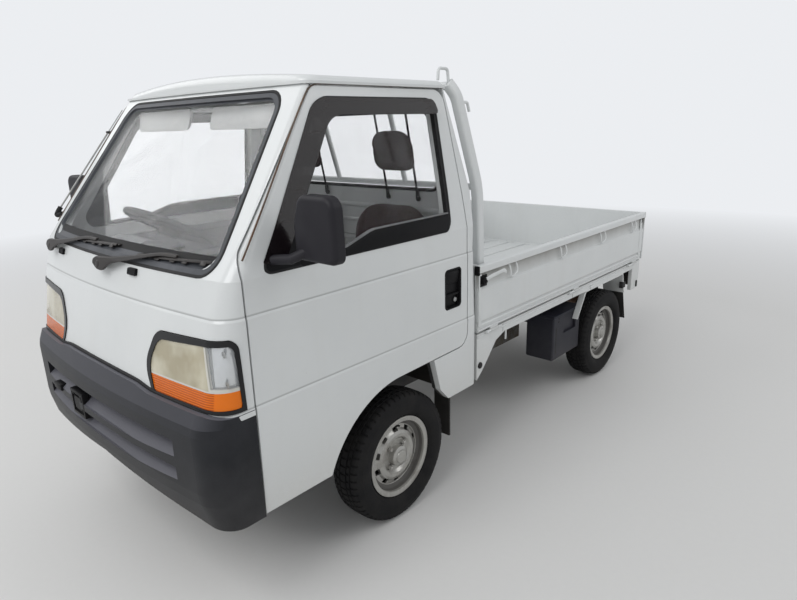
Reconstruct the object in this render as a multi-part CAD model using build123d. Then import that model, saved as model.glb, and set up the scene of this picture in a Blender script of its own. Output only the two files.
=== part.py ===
from build123d import *
from math import atan2, cos, degrees, radians, sin, sqrt, tan
import os

# A cab-over mini pick-up. Millimetres, X to its left side, Y to its tail, Z up.
# While it is modelled, Y is measured from the front axle and Z from the ground.

# Overall and running gear
front_overhang = 885
wheelbase = 1900
rear_overhang = 510
body_width = 1395
half_width = body_width / 2
track = body_width - 191
tyre_radius = 271
tyre_width = 147
bead_radius = tyre_radius - 119
flange_radius = bead_radius + 17
rim_width = tyre_width - 35
hub_radius = 30
kingpin_x = track / 2 - 102
spindle_radius = 19
spindle_clearance = 0.3
spring_seat = 38
part_gap = 0.3

# Heights of the cab's lines
sill_height = 385
lower_crease = 759
belt_height = 1150
upper_crease = belt_height - 110
shoulder_height = belt_height + 140
roof_line = 1690
crease_half = 4
crease_step = 3.5

# Where the cab's back lies at its foot, belt and roof
cab_foot_rear = 497
cab_rear = 478
roof_rear = 390

# Cab skin: its plan sections, from the bottom up to the roof line
# height, nose behind the bumper's face, tuck of the side, back, front corner radius, front curve radius
cab_rows = [
    (sill_height, 85, 7.5, cab_foot_rear, 70, 5200),
    (lower_crease - crease_half, 39, 0.5, cab_rear + 9, 80, 5200),
    (lower_crease + crease_half, 42, crease_step, cab_rear + 9, 80, 5200),
    (upper_crease - crease_half, 87, crease_step, cab_rear - 3, 80, 5200),
    (upper_crease + crease_half, 92, 2 * crease_step - 0.5, cab_rear - 3, 80, 5200),
    (belt_height, 120, 2 * crease_step - 0.5, cab_rear, 52, 4600),
    (shoulder_height, 227.5, 24.5, cab_rear, 34, 4600),
    (roof_line, 537, 92.5, roof_rear, 24, 6500),
]
cab_sections = [(row[0], row[1] - front_overhang) + row[2:] for row in cab_rows]
rear_corner_radius = 50
wall = 45
back_wall = 18
roof_rise = 54
roof_crown_radius = 6500
roof_edge_radius = 28
roof_corner_radius = 60
drip_rail = 8
drip_rail_height = 9

# Doors: seam lines in side view
door_gap = 6
door_skin = 18
door_step = 16
door_front = 213 - front_overhang
door_sill = sill_height + 4
door_knee_height = belt_height + 48
door_top_front = 579 - front_overhang
door_top_rear = roof_rear - 42
door_rear = cab_rear - 78
door_tail_height = lower_crease - 109
door_top = roof_line - door_gap
window_front_low = 281 - front_overhang
window_front_high = 589 - front_overhang
window_rear = cab_rear - 192
window_low = belt_height + 12
window_high = roof_line - 48
window_radius = 45
side_glass = 5
side_glass_depth = 16
sail_rear = window_front_low + 152
handle_front = door_rear - 148
handle_rear = door_rear - 45
handle_low = lower_crease + 74
handle_high = upper_crease - 44
handle_depth = 15
striker_low = 900
striker_high = 940

# Front wheel arch in side view
arch_front = -tyre_radius - 121
arch_crown = -34
arch_crown_height = 2 * tyre_radius + 99
arch_rear = tyre_radius - 96
arch_rear_height = arch_crown_height - 147
arch_tail = tyre_radius + 3
quarter_sill = sill_height + 51

# Windscreen and back window, in front view
screen_half_low = half_width - 95.5
screen_half_high = half_width - 175.5
screen_low = belt_height + 20
screen_high = roof_line - 28
screen_radius = 60
screen_glass = 6
screen_depth = 12
back_window_half = half_width - 197.5
back_window_low = shoulder_height - 5
back_window_high = roof_line - 80
back_window_radius = 45
back_glass_depth = 10

# Bumper
bumper_proud = 39
bumper_top_centre = 790
bumper_top_side = 755
bumper_slot_half = half_width - 185.5
bumper_slot_low = 520
bumper_slot_high = 668
bumper_slat_low = 575
bumper_slat_high = 600
bumper_slot_depth = 55
bumper_shelf_rise = 34
# height, how far it stands out, corner radius
bumper_rows = [
    (sill_height, 14, 80), (478, 35, 94), (516, 39, 100), (706, 39, 100), (732, 34, 97), (bumper_top_centre + 10, 5, 87),
]

# Lamps
lamp_inner = half_width - 359.5
lamp_side = door_front - 34
lamp_low = 774
lamp_rim = 15
# Front view corners: out from lamp_inner, up from lamp_low, how far each moves for a rim of 1, rounding
lamp_corners = [
    (24, 2, 0.93, 0.4, 15), (-20, 86, 1.6, 0.13, 90), (40, 202, 0.93, -1.73, 60), (262, 212, 0, -1.33, 0),
    (422, 217, 0, -1.13, 0), (422, -17, 0, 1.27, 0), (302, 0, 0, 0.67, 0),
]
lamp_split_inner = lamp_low + 58
lamp_split_outer = lamp_split_inner + 14
lamp_depth = 44

# Cab inside
floor_height = 432
floor_plate = 20
footwell_rear = arch_front - 8
platform_height = arch_crown_height + 71
platform_plate = 22
wheelhouse_x = kingpin_x - 150
wheelhouse_rear = tyre_radius + 94
door_clearance = 8
seat_width = 470
seat_x = seat_width / 2 + 65
seat_front = -70
seat_rear = cab_rear - 148
seat_top = platform_height + 168
back_height = belt_height + 95
headrest_low = back_height + 114
headrest_high = headrest_low + 184
headrest_width = 236
headrest_depth = 56
headrest_rod_gap = 180
headrest_rod = 5
column_reach = 411.65
steering_x = -320
steering_y = 540 - front_overhang
steering_z = belt_height + 15
steering_radius = 188
steering_rim = 13
binnacle_half = 130
dash_top = belt_height - 22
dash_front = 95 - front_overhang

# Chassis
rail_x = kingpin_x - 193
rail_width = 45
rail_low = 345
rail_top = floor_height
rail_kick_front = cab_rear + 84
rail_kick_rear = rail_kick_front + 118
deck_height = 676
deck_plate = 22
deck_low = deck_height - deck_plate
deck_rail_drop = 70
member_height = 50
engine_front = wheelbase - 710
engine_rear = wheelbase - 280
engine_low = 235
engine_right = -270
engine_left = 230
tank_front = cab_rear + 162
tank_rear = wheelbase - 820
tank_low = 300
side_box_front = wheelbase - 609
side_box_rear = wheelbase - 289
side_box_low = 262
under_bed_outer = half_width - 57.5
spring_x = rail_x + 103
spring_width = 54
spring_reach = 410

# Bed
bed_front = cab_rear + 22
bed_rear = wheelbase + rear_overhang - 25
bed_lip = 128
bed_lip_step = 1.5
gate_outer = half_width - 13.5
gate_inner = gate_outer - 21.5
gate_low = deck_height - 13
gate_top = gate_low + 305
gate_hinge_x = gate_outer + 6
gate_hinge_radius = 6.5
gate_hinge_z = gate_low - 8
gate_end = bed_rear - 7
skirt_outer = gate_outer - 6
skirt_plate = 22
skirt_low = deck_height - 64
fender_plate = 6
fender_top = skirt_low - fender_plate
headboard_plate = 26
plate_hole_gap = 210
plate_hole_radius = 3.5
plate_hole_z = deck_low - 54

# Guard frame behind the cab
post_x = gate_inner - 24.5
post_y = bed_front + 74
post_width = 40
post_depth = 46
guard_knee_z = shoulder_height
guard_top_z = roof_line + 13
guard_top_y = roof_rear + 42
hook_radius = 6
hook_top = roof_line + 76

far = 4000
left_and_right = (1, -1)
side_in = half_width - 200
side_out = half_width + 63


def move_z(shape, height):
    return Pos(0, 0, height) * shape


def box(x0, x1, y0, y1, z0, z1):
    corner = (Align.MIN, Align.MIN, Align.MIN)
    x0, x1 = min(x0, x1), max(x0, x1)
    return Pos(x0, y0, z0) * Box(x1 - x0, y1 - y0, z1 - z0, align=corner)


def zone(x0=-far, x1=far, y0=-far, y1=far, z0=-far, z1=far):
    """All that lies between the limits that are given."""
    return box(x0, x1, y0, y1, z0, z1)


def side_plate(outline, x0, x1):
    """A face drawn in side view (Y, Z), swept across from x0 to x1."""
    x0, x1 = min(x0, x1), max(x0, x1)
    return extrude(Plane((x0, 0, 0), x_dir=(0, 1, 0), z_dir=(1, 0, 0)) * outline, x1 - x0)


def front_plate(outline, y0, y1):
    """A face drawn in front view (X, Z), swept rearward from y0 to y1."""
    return extrude(Plane((0, y0, 0), x_dir=(1, 0, 0), z_dir=(0, -1, 0)) * outline, y0 - y1)


def polygon(*points, radius=0):
    return make_face(FilletPolyline(*points, radius=radius, close=True))


def other_side(shape):
    return shape.mirror(Plane.YZ)


def both_sides(shape):
    return [shape, other_side(shape)]


def bar(points, section, bend=0):
    """A round bar, or one of another section, along straight runs with rounded bends."""
    path = FilletPolyline(*points, radius=bend) if bend else Polyline(*points)
    face = Circle(section) if isinstance(section, (int, float)) else section
    return sweep(Plane(path @ 0, x_dir=(1, 0, 0), z_dir=path % 0) * face, path)


def rod(start, end, radius):
    axis = Vector(*end) - Vector(*start)
    return extrude(Plane(Vector(*start), z_dir=axis) * Circle(radius), axis.length)


def cab_plan(section, inset, back_inset):
    """The cab's outline at one height: curved nose, two corner radii, straight sides and back."""
    height, nose, tuck, back, corner, bend = section
    half = half_width - tuck - inset
    nose, back = nose + inset, back - back_inset
    corner = max(corner - inset, 10)
    rear_corner = max(rear_corner_radius - inset, 8)
    bend = bend - inset
    centre = nose + bend
    corner_x = half - corner
    corner_y = centre - sqrt((bend - corner) ** 2 - corner_x ** 2)
    reach = bend / (bend - corner)
    front_x, front_y = corner_x * reach, centre + (corner_y - centre) * reach
    turn = atan2(front_y - corner_y, front_x - corner_x) / 2
    middle = (corner_x + corner * cos(turn), corner_y + corner * sin(turn))
    slant = rear_corner * (1 - sqrt(0.5))
    sides = []
    for side in left_and_right:
        sides += [
            ThreePointArc((side * front_x, front_y), (side * middle[0], middle[1]), (side * half, corner_y)),
            Line((side * half, corner_y), (side * half, back - rear_corner)),
            ThreePointArc(
                (side * half, back - rear_corner),
                (side * (half - slant), back - slant),
                (side * (half - rear_corner), back),
            ),
        ]
    nose_arc = ThreePointArc((-front_x, front_y), (0, nose), (front_x, front_y))
    tail = Line((-(half - rear_corner), back), (half - rear_corner, back))
    return move_z(make_face(Wire([nose_arc, tail] + sides)), height)


def cab_volume(inset, back_inset=None):
    back_inset = inset if back_inset is None else back_inset
    return loft([cab_plan(section, inset, back_inset) for section in cab_sections], ruled=True)


def at_height(column, height):
    """One column of the cab's sections, read at a height between them."""
    for lower, upper in zip(cab_sections, cab_sections[1:]):
        if height <= upper[0]:
            share = (height - lower[0]) / (upper[0] - lower[0])
            return lower[column] + share * (upper[column] - lower[column])
    return cab_sections[-1][column]


def skin_y(x, height):
    """The skin of the nose or windscreen at a distance from the middle line."""
    bend = at_height(5, belt_height)
    return at_height(1, height) + bend - sqrt(bend ** 2 - x ** 2)


def side_at(height):
    return half_width - at_height(2, height)


def back_wall_at(height):
    return at_height(3, height) - back_wall


def door_outline():
    """The door's edge in side view: pillar line, roof line, rear seam and the wheel arch in its lower edge."""
    arch_mid = (arch_front * 0.73, arch_crown_height - 101)
    edges = [
        Line((door_front, door_sill), (door_front, door_knee_height)),
        Line((door_front, door_knee_height), (door_top_front, door_top)),
        Line((door_top_front, door_top), (door_top_rear, door_top)),
        Line((door_top_rear, door_top), (door_rear, belt_height)),
        Line((door_rear, belt_height), (door_rear, door_tail_height)),
        Line((door_rear, door_tail_height), (arch_crown, arch_crown_height)),
        ThreePointArc((arch_crown, arch_crown_height), arch_mid, (arch_front, door_sill)),
        Line((arch_front, door_sill), (door_front, door_sill)),
    ]
    face = make_face(Wire(edges))
    rounds = [
        (door_rear, door_tail_height, 58),
        (door_top_rear, door_top, 60),
        (door_top_front, door_top, 40),
        (door_front, door_knee_height, 120),
    ]
    for y, z, radius in rounds:
        corner = face.vertices().sort_by_distance((y, z, 0))[0]
        face = fillet(corner, radius)
    return face


def window_outline():
    return polygon(
        (window_front_low, window_low),
        (window_front_high, window_high),
        (window_rear, window_high),
        (window_rear + 4, window_low),
        radius=window_radius,
    )


def arch_cut():
    """What the front wheel arch leaves open below the skin."""
    arch_mid = (arch_front * 0.73, arch_crown_height - 101)
    foot = sill_height - 85
    end = cab_foot_rear + 103
    outline = make_face(Wire([
        ThreePointArc((arch_front - door_gap, foot), arch_mid, (arch_crown, arch_crown_height)),
        Line((arch_crown, arch_crown_height), (arch_rear, arch_crown_height)),
        Line((arch_rear, arch_crown_height), (arch_rear + 44, arch_rear_height)),
        Line((arch_rear + 44, arch_rear_height), (arch_tail, quarter_sill)),
        Line((arch_tail, quarter_sill), (end, quarter_sill)),
        Line((end, quarter_sill), (end, foot)),
        Line((end, foot), (arch_front - door_gap, foot)),
    ]))
    return side_plate(outline, side_in, side_out)


def screen_outline():
    return polygon(
        (-screen_half_low, screen_low),
        (-screen_half_high, screen_high),
        (screen_half_high, screen_high),
        (screen_half_low, screen_low),
        radius=screen_radius,
    )


def back_window_outline():
    middle = (back_window_low + back_window_high) / 2
    face = Rectangle(2 * back_window_half, back_window_high - back_window_low)
    return Pos(0, middle) * fillet(face.vertices(), back_window_radius)


def lamp_zone(rim, depth_end):
    """All that lies within a rim of the head lamp's edge, which turns the corner of the cab."""
    corners = [(lamp_inner + x + in_x * rim, lamp_low + z + in_z * rim) for x, z, in_x, in_z, _ in lamp_corners]
    front_view = polygon(*corners, radius=[corner[4] for corner in lamp_corners])
    nose_end, high, low = -front_overhang - 50, corners[4][1], corners[5][1]
    end = lamp_side - rim
    side_view = polygon(
        (nose_end, low), (end + 2, low), (end - 4, high), (nose_end, high), radius=[0, 8 + 0.4 * rim, 36 - 0.7 * rim, 0]
    )
    return front_plate(front_view, -far, depth_end) & side_plate(side_view, 0, far)


def inboard_zone(depth):
    """All that lies further in than a depth from the cab's sides."""
    heights = [section[0] for section in cab_sections]
    edge = [(side_at(height) - depth, height) for height in heights]
    outline = [(edge[0][0], sill_height - 20)] + edge + [(edge[-1][0], roof_line + 20)]
    return front_plate(polygon(*outline, *[(-x, z) for x, z in reversed(outline)]), -far, far)


parts = {}

# Cab shell, split at its seams
skin = cab_volume(0)
outside = cab_volume(-part_gap)
cavity = cab_volume(wall, back_wall)
shell = skin - cavity
door_face = door_outline()
opening_face = offset(door_face, door_gap)
door_hole = side_plate(opening_face, side_in, side_out)
door_hole += box(side_in, side_out, door_top_front - door_gap, door_top_rear + door_gap, door_top - 40, roof_line + 5)
door_hole -= inboard_zone(wall + door_gap)
front_arch = arch_cut()
screen_hole = front_plate(screen_outline(), -far, 0)
lamp_hole = lamp_zone(0, door_front)

cab_front = shell & zone(y1=door_top_front + 20, z0=sill_height, z1=roof_line)
cab_front = cab_front - screen_hole - zone(y0=door_front, z1=belt_height)
for side_cut in (door_hole, front_arch, lamp_hole):
    cab_front -= side_cut
    cab_front -= other_side(side_cut)
parts["cab_front"] = cab_front

back_zone = inboard_zone(wall) & zone(y0=door_top_rear - 48, z0=sill_height, z1=roof_line)
back_hole = front_plate(back_window_outline(), door_top_rear - 48, far)
cab_back = (shell & back_zone) - back_hole
cab_back &= zone(z0=quarter_sill)
parts["cab_back"] = cab_back

quarter = shell & zone(x0=0, y0=0)
quarter = quarter - back_zone - door_hole - front_arch
quarter += box(
    half_width - 20, half_width - 9, door_rear + part_gap, door_rear + door_gap + 10, striker_low, striker_high
)
parts["cab_sides"] = both_sides(quarter)

# Roof, with its drip rail
roof_section = cab_sections[-1][:4] + (roof_corner_radius, cab_sections[-1][5])
roof = extrude(cab_plan(roof_section, 0, 0), roof_rise)
crown_top = roof_line + roof_rise
crown = Pos(0, 0, crown_top - roof_crown_radius) * Rot(90, 0, 0) * Cylinder(roof_crown_radius, far)
roof &= crown
top_edges = roof.faces().sort_by(Axis.Z)[-1].edges()
roof = fillet(top_edges, roof_edge_radius)
rail_face = cab_plan(cab_sections[-1], -drip_rail, -drip_rail)
roof += extrude(rail_face, drip_rail_height)
parts["cab_roof"] = roof

# Glass
screen_layer = cab_volume(screen_depth) - cab_volume(screen_depth + screen_glass)
parts["windscreen"] = screen_layer & screen_hole & zone(y1=door_top_front + 106, z0=screen_low - 20)
back_layer = cab_volume(back_glass_depth) - cab_volume(back_glass_depth + side_glass)
parts["back_window"] = back_layer & back_hole

# Doors
outer_skin = skin - cab_volume(door_skin)
inner_frame = cab_volume(door_skin) - cavity
door = outer_skin & side_plate(door_face, side_in, side_out)
door += inner_frame & side_plate(offset(door_face, -door_step), side_in, side_out)
window_hole = side_plate(window_outline(), side_in, side_out)
door = door - inboard_zone(wall) - window_hole
handle_face = polygon(
    (handle_front, handle_low), (handle_front, handle_high), (handle_rear, handle_high), (handle_rear, handle_low),
    radius=15,
)
door -= side_plate(handle_face, side_at(handle_low) - handle_depth, side_out)
sail_zone = zone(x0=0, y0=window_front_low - 20, y1=sail_rear, z0=window_low - 5)
glass_layer = cab_volume(side_glass_depth) - cab_volume(side_glass_depth + side_glass)
window_pane = glass_layer & window_hole
sail = (cab_volume(4) - cab_volume(door_skin + 4)) & window_hole & sail_zone
door_glass = window_pane - sail_zone

# Mirror: stalk and head on the sail plate
mirror_y = window_front_low + 104
mirror_low, mirror_high = belt_height + 40, belt_height + 230
mirror_face = polygon(
    (half_width + 43, mirror_low), (half_width + 40, mirror_low + 105), (half_width + 66, mirror_high),
    (half_width + 212, mirror_high), (half_width + 217, mirror_low), radius=[26, 60, 34, 40, 24],
)
mirror_head = front_plate(mirror_face, mirror_y - 22, mirror_y + 22)
mirror_head = fillet(mirror_head.faces().sort_by(Axis.Y)[0].edges(), 16)
mirror_head = fillet(mirror_head.faces().sort_by(Axis.Y)[-1].edges(), 4)
stalk_root = (side_at(belt_height + 40) - 10, mirror_y - 68, belt_height + 40)
stalk_knee = (half_width + 46, mirror_y - 38, belt_height + 46)
mirror_stalk = rod(stalk_root, stalk_knee, 15) + rod(stalk_knee, (half_width + 92, mirror_y - 2, mirror_low + 32), 15)
mirror_stalk += Pos(*stalk_knee) * Sphere(15.5)
mirror = mirror_head + (mirror_stalk - door) + sail

for side, name in ((1, "left"), (-1, "right")):
    pick = (lambda shape: shape) if side == 1 else other_side
    parts["door_" + name] = pick(door)
    parts["door_glass_" + name] = pick(door_glass)
    parts["mirror_" + name] = pick(mirror)

# Floor: footwell, riser, seat platform and wheelhouses
floor_top = floor_height + floor_plate
platform_low = platform_height - platform_plate
floor_bits = zone(y1=footwell_rear + 25, z0=floor_height, z1=floor_top)
floor_bits += zone(y0=footwell_rear, y1=footwell_rear + 25, z0=floor_height, z1=platform_height)
floor_bits += zone(y0=footwell_rear, z0=platform_low, z1=platform_height)
for side in left_and_right:
    inner, outer = side * (wheelhouse_x - 20), side * wheelhouse_x
    floor_bits += box(inner, outer, footwell_rear, far, floor_height, platform_height)
    inner = side * (wheelhouse_x - 10)
    floor_bits += box(inner, side * far, wheelhouse_rear - 20, wheelhouse_rear, quarter_sill, platform_height)
clear_of_doors = cab_volume(wall + door_clearance, back_wall)
near_ends = cavity & (zone(y1=door_front - 20, z1=door_tail_height + 150) + zone(y0=door_rear + 18))
cab_floor = (floor_bits & clear_of_doors) + (floor_bits & near_ends)
parts["cab_floor"] = cab_floor


# Bumper
def bumper_section(height, proud, corner):
    base = (height, bumper_proud - front_overhang - proud, 0.5, 0, corner, 5200)
    return cab_plan(base, 0, 0)


bumper = loft([bumper_section(*row) for row in bumper_rows], ruled=True)
bumper &= zone(y1=door_front - door_gap)
bumper_side = half_width + 9
bumper_edge = half_width - 137.5
bumper &= front_plate(
    polygon(
        (-bumper_side, bumper_top_side), (-lamp_inner - 302, lamp_low - 2), (-lamp_inner - 24, lamp_low),
        (-lamp_inner + 60, bumper_top_centre - 4), (0, bumper_top_centre), (lamp_inner - 60, bumper_top_centre - 4),
        (lamp_inner + 24, lamp_low), (lamp_inner + 302, lamp_low - 2),
        (bumper_side, bumper_top_side), (bumper_side, sill_height - 1),
        (bumper_edge, sill_height + 20), (0, sill_height + 69), (-bumper_edge, sill_height + 20),
        (-bumper_side, sill_height - 1),
    ),
    -far, 0,
)
bumper -= outside
slot_end = bumper_slot_depth - front_overhang
for low, high in ((bumper_slat_high, bumper_slot_high), (bumper_slot_low, bumper_slat_low)):
    slot_face = polygon(
        (-front_overhang - 50, low), (8 - front_overhang, low), (slot_end, low + bumper_shelf_rise), (slot_end, high),
        (-front_overhang - 50, high),
    )
    bumper -= side_plate(slot_face, -bumper_slot_half, bumper_slot_half)
parts["front_bumper"] = bumper

# Lamps
lamp_end = door_front - door_gap
bezel_zone = lamp_zone(1, lamp_end)
lens_zone = lamp_zone(lamp_rim, lamp_end)
upper_zone = front_plate(
    polygon((0, lamp_split_inner), (far, lamp_split_outer), (far, far), (0, far)), -far, 0
)
bezel = (cab_volume(-4) - cab_volume(lamp_depth)) & bezel_zone
bezel -= (cab_volume(-10) - cab_volume(lamp_depth - 8)) & lens_zone
parts["lamp_housings"] = both_sides(bezel)
lens_layer = (cab_volume(-1) - cab_volume(6)) & lens_zone
parts["lamp_lenses"] = both_sides(lens_layer & upper_zone)
parts["turn_lenses"] = both_sides(lens_layer - upper_zone)

# Wipers: each pivot and the tip of its blade
wipers = []
wiper_z = belt_height - 22
for pivot_x, tip_x in ((-530, 74), (15, 646)):
    pivot_y = skin_y(pivot_x, wiper_z)
    knee = (pivot_x + 60, skin_y(pivot_x + 60, wiper_z + 44) - 14, wiper_z + 44)
    tip = (tip_x - 40, skin_y(tip_x - 40, wiper_z + 64) - 12, wiper_z + 64)
    arm = rod((pivot_x, pivot_y + 8, wiper_z), (pivot_x, pivot_y - 22, wiper_z + 4), 13)
    arm += rod((pivot_x, pivot_y - 14, wiper_z + 3), knee, 6)
    arm += rod(knee, tip, 5)
    wipers.append(arm - outside)
parts["wipers"] = wipers

# Dashboard and steering column
dash_face = polygon(
    (dash_front, dash_top - 228), (dash_front, dash_top), (dash_front + 90, dash_top + 4),
    (dash_front + 200, dash_top - 28), (dash_front + 230, dash_top - 88), (dash_front + 190, dash_top - 198),
    (dash_front + 130, dash_top - 248), radius=14,
)
dashboard = side_plate(dash_face, -half_width, half_width)
dashboard = (dashboard & clear_of_doors) + (dashboard & cab_volume(wall + 1, back_wall) & zone(y1=door_front - 20))
binnacle_front = dash_front + 140
binnacle_face = polygon(
    (binnacle_front, dash_top - 28), (binnacle_front + 130, dash_top + 24), (binnacle_front + 198, dash_top + 6),
    (binnacle_front + 180, dash_top - 88), (binnacle_front + 90, dash_top - 138), (binnacle_front, dash_top - 138),
    radius=12,
)
dashboard += side_plate(binnacle_face, steering_x - binnacle_half, steering_x + binnacle_half)
wheel_tilt_deg = degrees(atan2(column_reach, steering_z - floor_top))
column_axis = Vector(0, sin(radians(wheel_tilt_deg)), cos(radians(wheel_tilt_deg)))
wheel_centre = Vector(steering_x, steering_y, steering_z)
column_top = wheel_centre - column_axis * 48
column = rod(tuple(wheel_centre - column_axis * (steering_z - floor_height) * 1.15), tuple(column_top), 22)
column &= clear_of_doors & zone(z0=floor_top + part_gap)
cowl = rod(tuple(wheel_centre - column_axis * 260), tuple(column_top), 48)
parts["dashboard"] = dashboard + column + cowl

hub_plane = Plane(wheel_centre, x_dir=(1, 0, 0), z_dir=column_axis)
steering = hub_plane * Torus(steering_radius, steering_rim)
steering += hub_plane * Pos(0, 0, -16) * Cylinder(42, 44)
for angle in (0, 180, 270):
    steering += hub_plane * Rot(0, 0, angle) * Pos(steering_radius / 2, 0, -8) * Box(steering_radius - 8, 30, 10)
shaft_top = wheel_centre - column_axis * (48 - part_gap)
steering += rod(tuple(wheel_centre - column_axis * 20), tuple(shaft_top), 12)
parts["steering_wheel"] = steering

# Seats, and headrests on bars that stand off the back wall
seats, backs, headrests = [], [], []
back_lean_deg = degrees(atan2(cab_rear - roof_rear, roof_line - shoulder_height))
for side in left_and_right:
    x0, x1 = side * seat_x - seat_width / 2, side * seat_x + seat_width / 2
    cushion = box(x0, x1, seat_front, seat_rear, platform_height + part_gap, seat_top)
    seats.append(fillet(cushion.edges(), 28))
    profile = polygon(
        (seat_rear + 4, platform_height + part_gap), (seat_rear + 66, platform_height + part_gap),
        (seat_rear + 88, back_height), (seat_rear + 8, back_height), (seat_rear - 40, seat_top + 40),
        (seat_rear + 4, seat_top + 8), radius=[8, 8, 30, 30, 20, 8],
    )
    backs.append(side_plate(profile, x0 + 10, x1 - 10))
    head_z = (headrest_low + headrest_high) / 2
    head_face = polygon(
        (-headrest_width / 2, headrest_low - head_z), (-headrest_width / 2, headrest_high - head_z),
        (headrest_width / 2, headrest_high - head_z), (headrest_width / 2, headrest_low - head_z), radius=[52, 74, 74, 52],
    )
    head = front_plate(head_face, -headrest_depth / 2, headrest_depth / 2)
    head = fillet(head.faces().sort_by(Axis.Y)[0].edges() + head.faces().sort_by(Axis.Y)[-1].edges(), 20)
    pane_y = at_height(3, head_z) - back_glass_depth - side_glass
    head = Pos(side * seat_x, pane_y - headrest_depth / 2 - 6, head_z) * Rot(back_lean_deg, 0, 0) * head
    for shift in left_and_right:
        x = side * seat_x + shift * headrest_rod_gap / 2
        low_z, high_z = back_height - 4, window_high - 2
        low_y, high_y = back_wall_at(low_z), back_wall_at(high_z)
        high_end = high_y - part_gap - headrest_rod * tan(radians(back_lean_deg))
        head += bar(
            [(x, low_y - part_gap, low_z), (x, low_y - 11, low_z), (x, high_y - 11, high_z), (x, high_end, high_z)],
            headrest_rod, 6,
        )
    headrests.append(head)
parts["seat_cushions"] = seats
parts["seat_backs"] = backs
parts["headrests"] = headrests

# Chassis rails, with a kick-up behind the cab, and their cross members
frame_rear = bed_rear - 35
rail_underside = deck_low - deck_rail_drop
rail_face = polygon(
    (door_front - 28, rail_low), (rail_kick_front, rail_low), (rail_kick_rear, rail_underside),
    (frame_rear, rail_underside), (frame_rear, deck_low), (rail_kick_rear - 70, deck_low),
    (rail_kick_front - 60, rail_top), (door_front - 28, rail_top),
)
frame = side_plate(rail_face, rail_x - rail_width / 2, rail_x + rail_width / 2)
frame += other_side(frame)
members = (
    (door_front + 32, rail_top), (-180, rail_top), (wheelhouse_rear - 35, rail_top),
    (wheelbase - 780, deck_low), (wheelbase - 200, deck_low), (bed_rear - 75, deck_low),
)
for y, top in members:
    frame += box(-rail_x, rail_x, y - 25, y + 25, top - member_height - 15, top - 15)
parts["chassis_frame"] = frame

engine = box(engine_right, engine_left, engine_front, engine_rear, engine_low, rail_underside - 10)
rail_edge = rail_x + rail_width / 2
engine += box(-rail_edge, rail_edge, engine_front + 190, engine_front + 240, rail_underside - 22, rail_underside)
parts["engine_block"] = engine
tank = fillet(box(-under_bed_outer, -rail_x - 33, tank_front, tank_rear, tank_low, deck_low - 94).edges(), 30)
for x in (-under_bed_outer + 80, -rail_x - 113):
    tank += box(x, x + 40, tank_front + 60, tank_rear - 60, deck_low - 114, deck_low)
parts["fuel_tank"] = tank
silencer_y, silencer_z = wheelbase + 335, tyre_radius + 129
exhaust_x = spring_x - 290
silencer = Pos(exhaust_x, silencer_y, silencer_z) * Rot(0, 90, 0) * Cylinder(75, 520)
pipe_low, pipe_high = engine_low + 95, silencer_z + 20
pipe = bar(
    [
        (exhaust_x, engine_rear, pipe_low), (exhaust_x, engine_rear + 140, pipe_low),
        (exhaust_x, wheelbase - 40, pipe_high), (exhaust_x, wheelbase + 80, pipe_high),
        (exhaust_x, silencer_y - 45, silencer_z),
    ],
    19, 40,
)
hanger = box(exhaust_x - 20, exhaust_x + 20, silencer_y - 20, silencer_y + 20, silencer_z + 40, deck_low - 15)
parts["exhaust"] = silencer + pipe + hanger

# Rear axle beam, springs, front arms and struts
spindle_out = track / 2 + 2
beam_half = spring_x + 110
rear_axle = rod((-beam_half, wheelbase, tyre_radius), (beam_half, wheelbase, tyre_radius), 36)
rear_axle += rod((-spindle_out, wheelbase, tyre_radius), (spindle_out, wheelbase, tyre_radius), spindle_radius)
spring_low = tyre_radius + spring_seat
for side in left_and_right:
    rear_axle += Pos(side * spring_x, wheelbase, spring_low - 12.2) * Box(spring_width, 60, 24)
parts["rear_axle"] = rear_axle
springs = []
spring_front, spring_rear, eye_z = wheelbase - spring_reach - 10, wheelbase + spring_reach - 10, tyre_radius + 95
for side in left_and_right:
    leaf = make_face(Wire([
        ThreePointArc((spring_front, eye_z), (wheelbase, spring_low), (spring_rear, eye_z)),
        Line((spring_rear, eye_z), (spring_rear, eye_z + 10)),
        ThreePointArc((spring_rear, eye_z + 10), (wheelbase, spring_low + 28), (spring_front, eye_z + 10)),
        Line((spring_front, eye_z + 10), (spring_front, eye_z)),
    ]))
    x0, x1 = side * spring_x - spring_width / 2, side * spring_x + spring_width / 2
    spring = side_plate(leaf, x0, x1)
    for y in (spring_front, spring_rear):
        spring += box(x0, x1, y - 12, y + 12, eye_z - 6, deck_low)
    springs.append(spring)
parts["leaf_springs"] = springs

suspension = []
strut_top = platform_low
strut_foot = strut_top - 260
on_base = (Align.CENTER, Align.CENTER, Align.MIN)
for side in left_and_right:
    joint = (side * (kingpin_x - 4), 0, tyre_radius - 85)
    arm = bar([(side * rail_edge, -90, rail_low - 95), joint], 16)
    arm += bar([(side * rail_edge, 120, rail_low - 95), joint], 16)
    arm += box(side * (rail_x - 15), side * (rail_edge + 16), -110, 140, rail_low - 110, rail_low)
    suspension.append(arm)
    spring_tower = move_z(Cylinder(26, 260, align=on_base), strut_foot)
    spring_tower += move_z(Cylinder(58, 150, align=on_base), strut_top - 150)
    suspension.append(Pos(side * kingpin_x, 0, 0) * spring_tower)
parts["front_suspension"] = suspension

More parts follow.
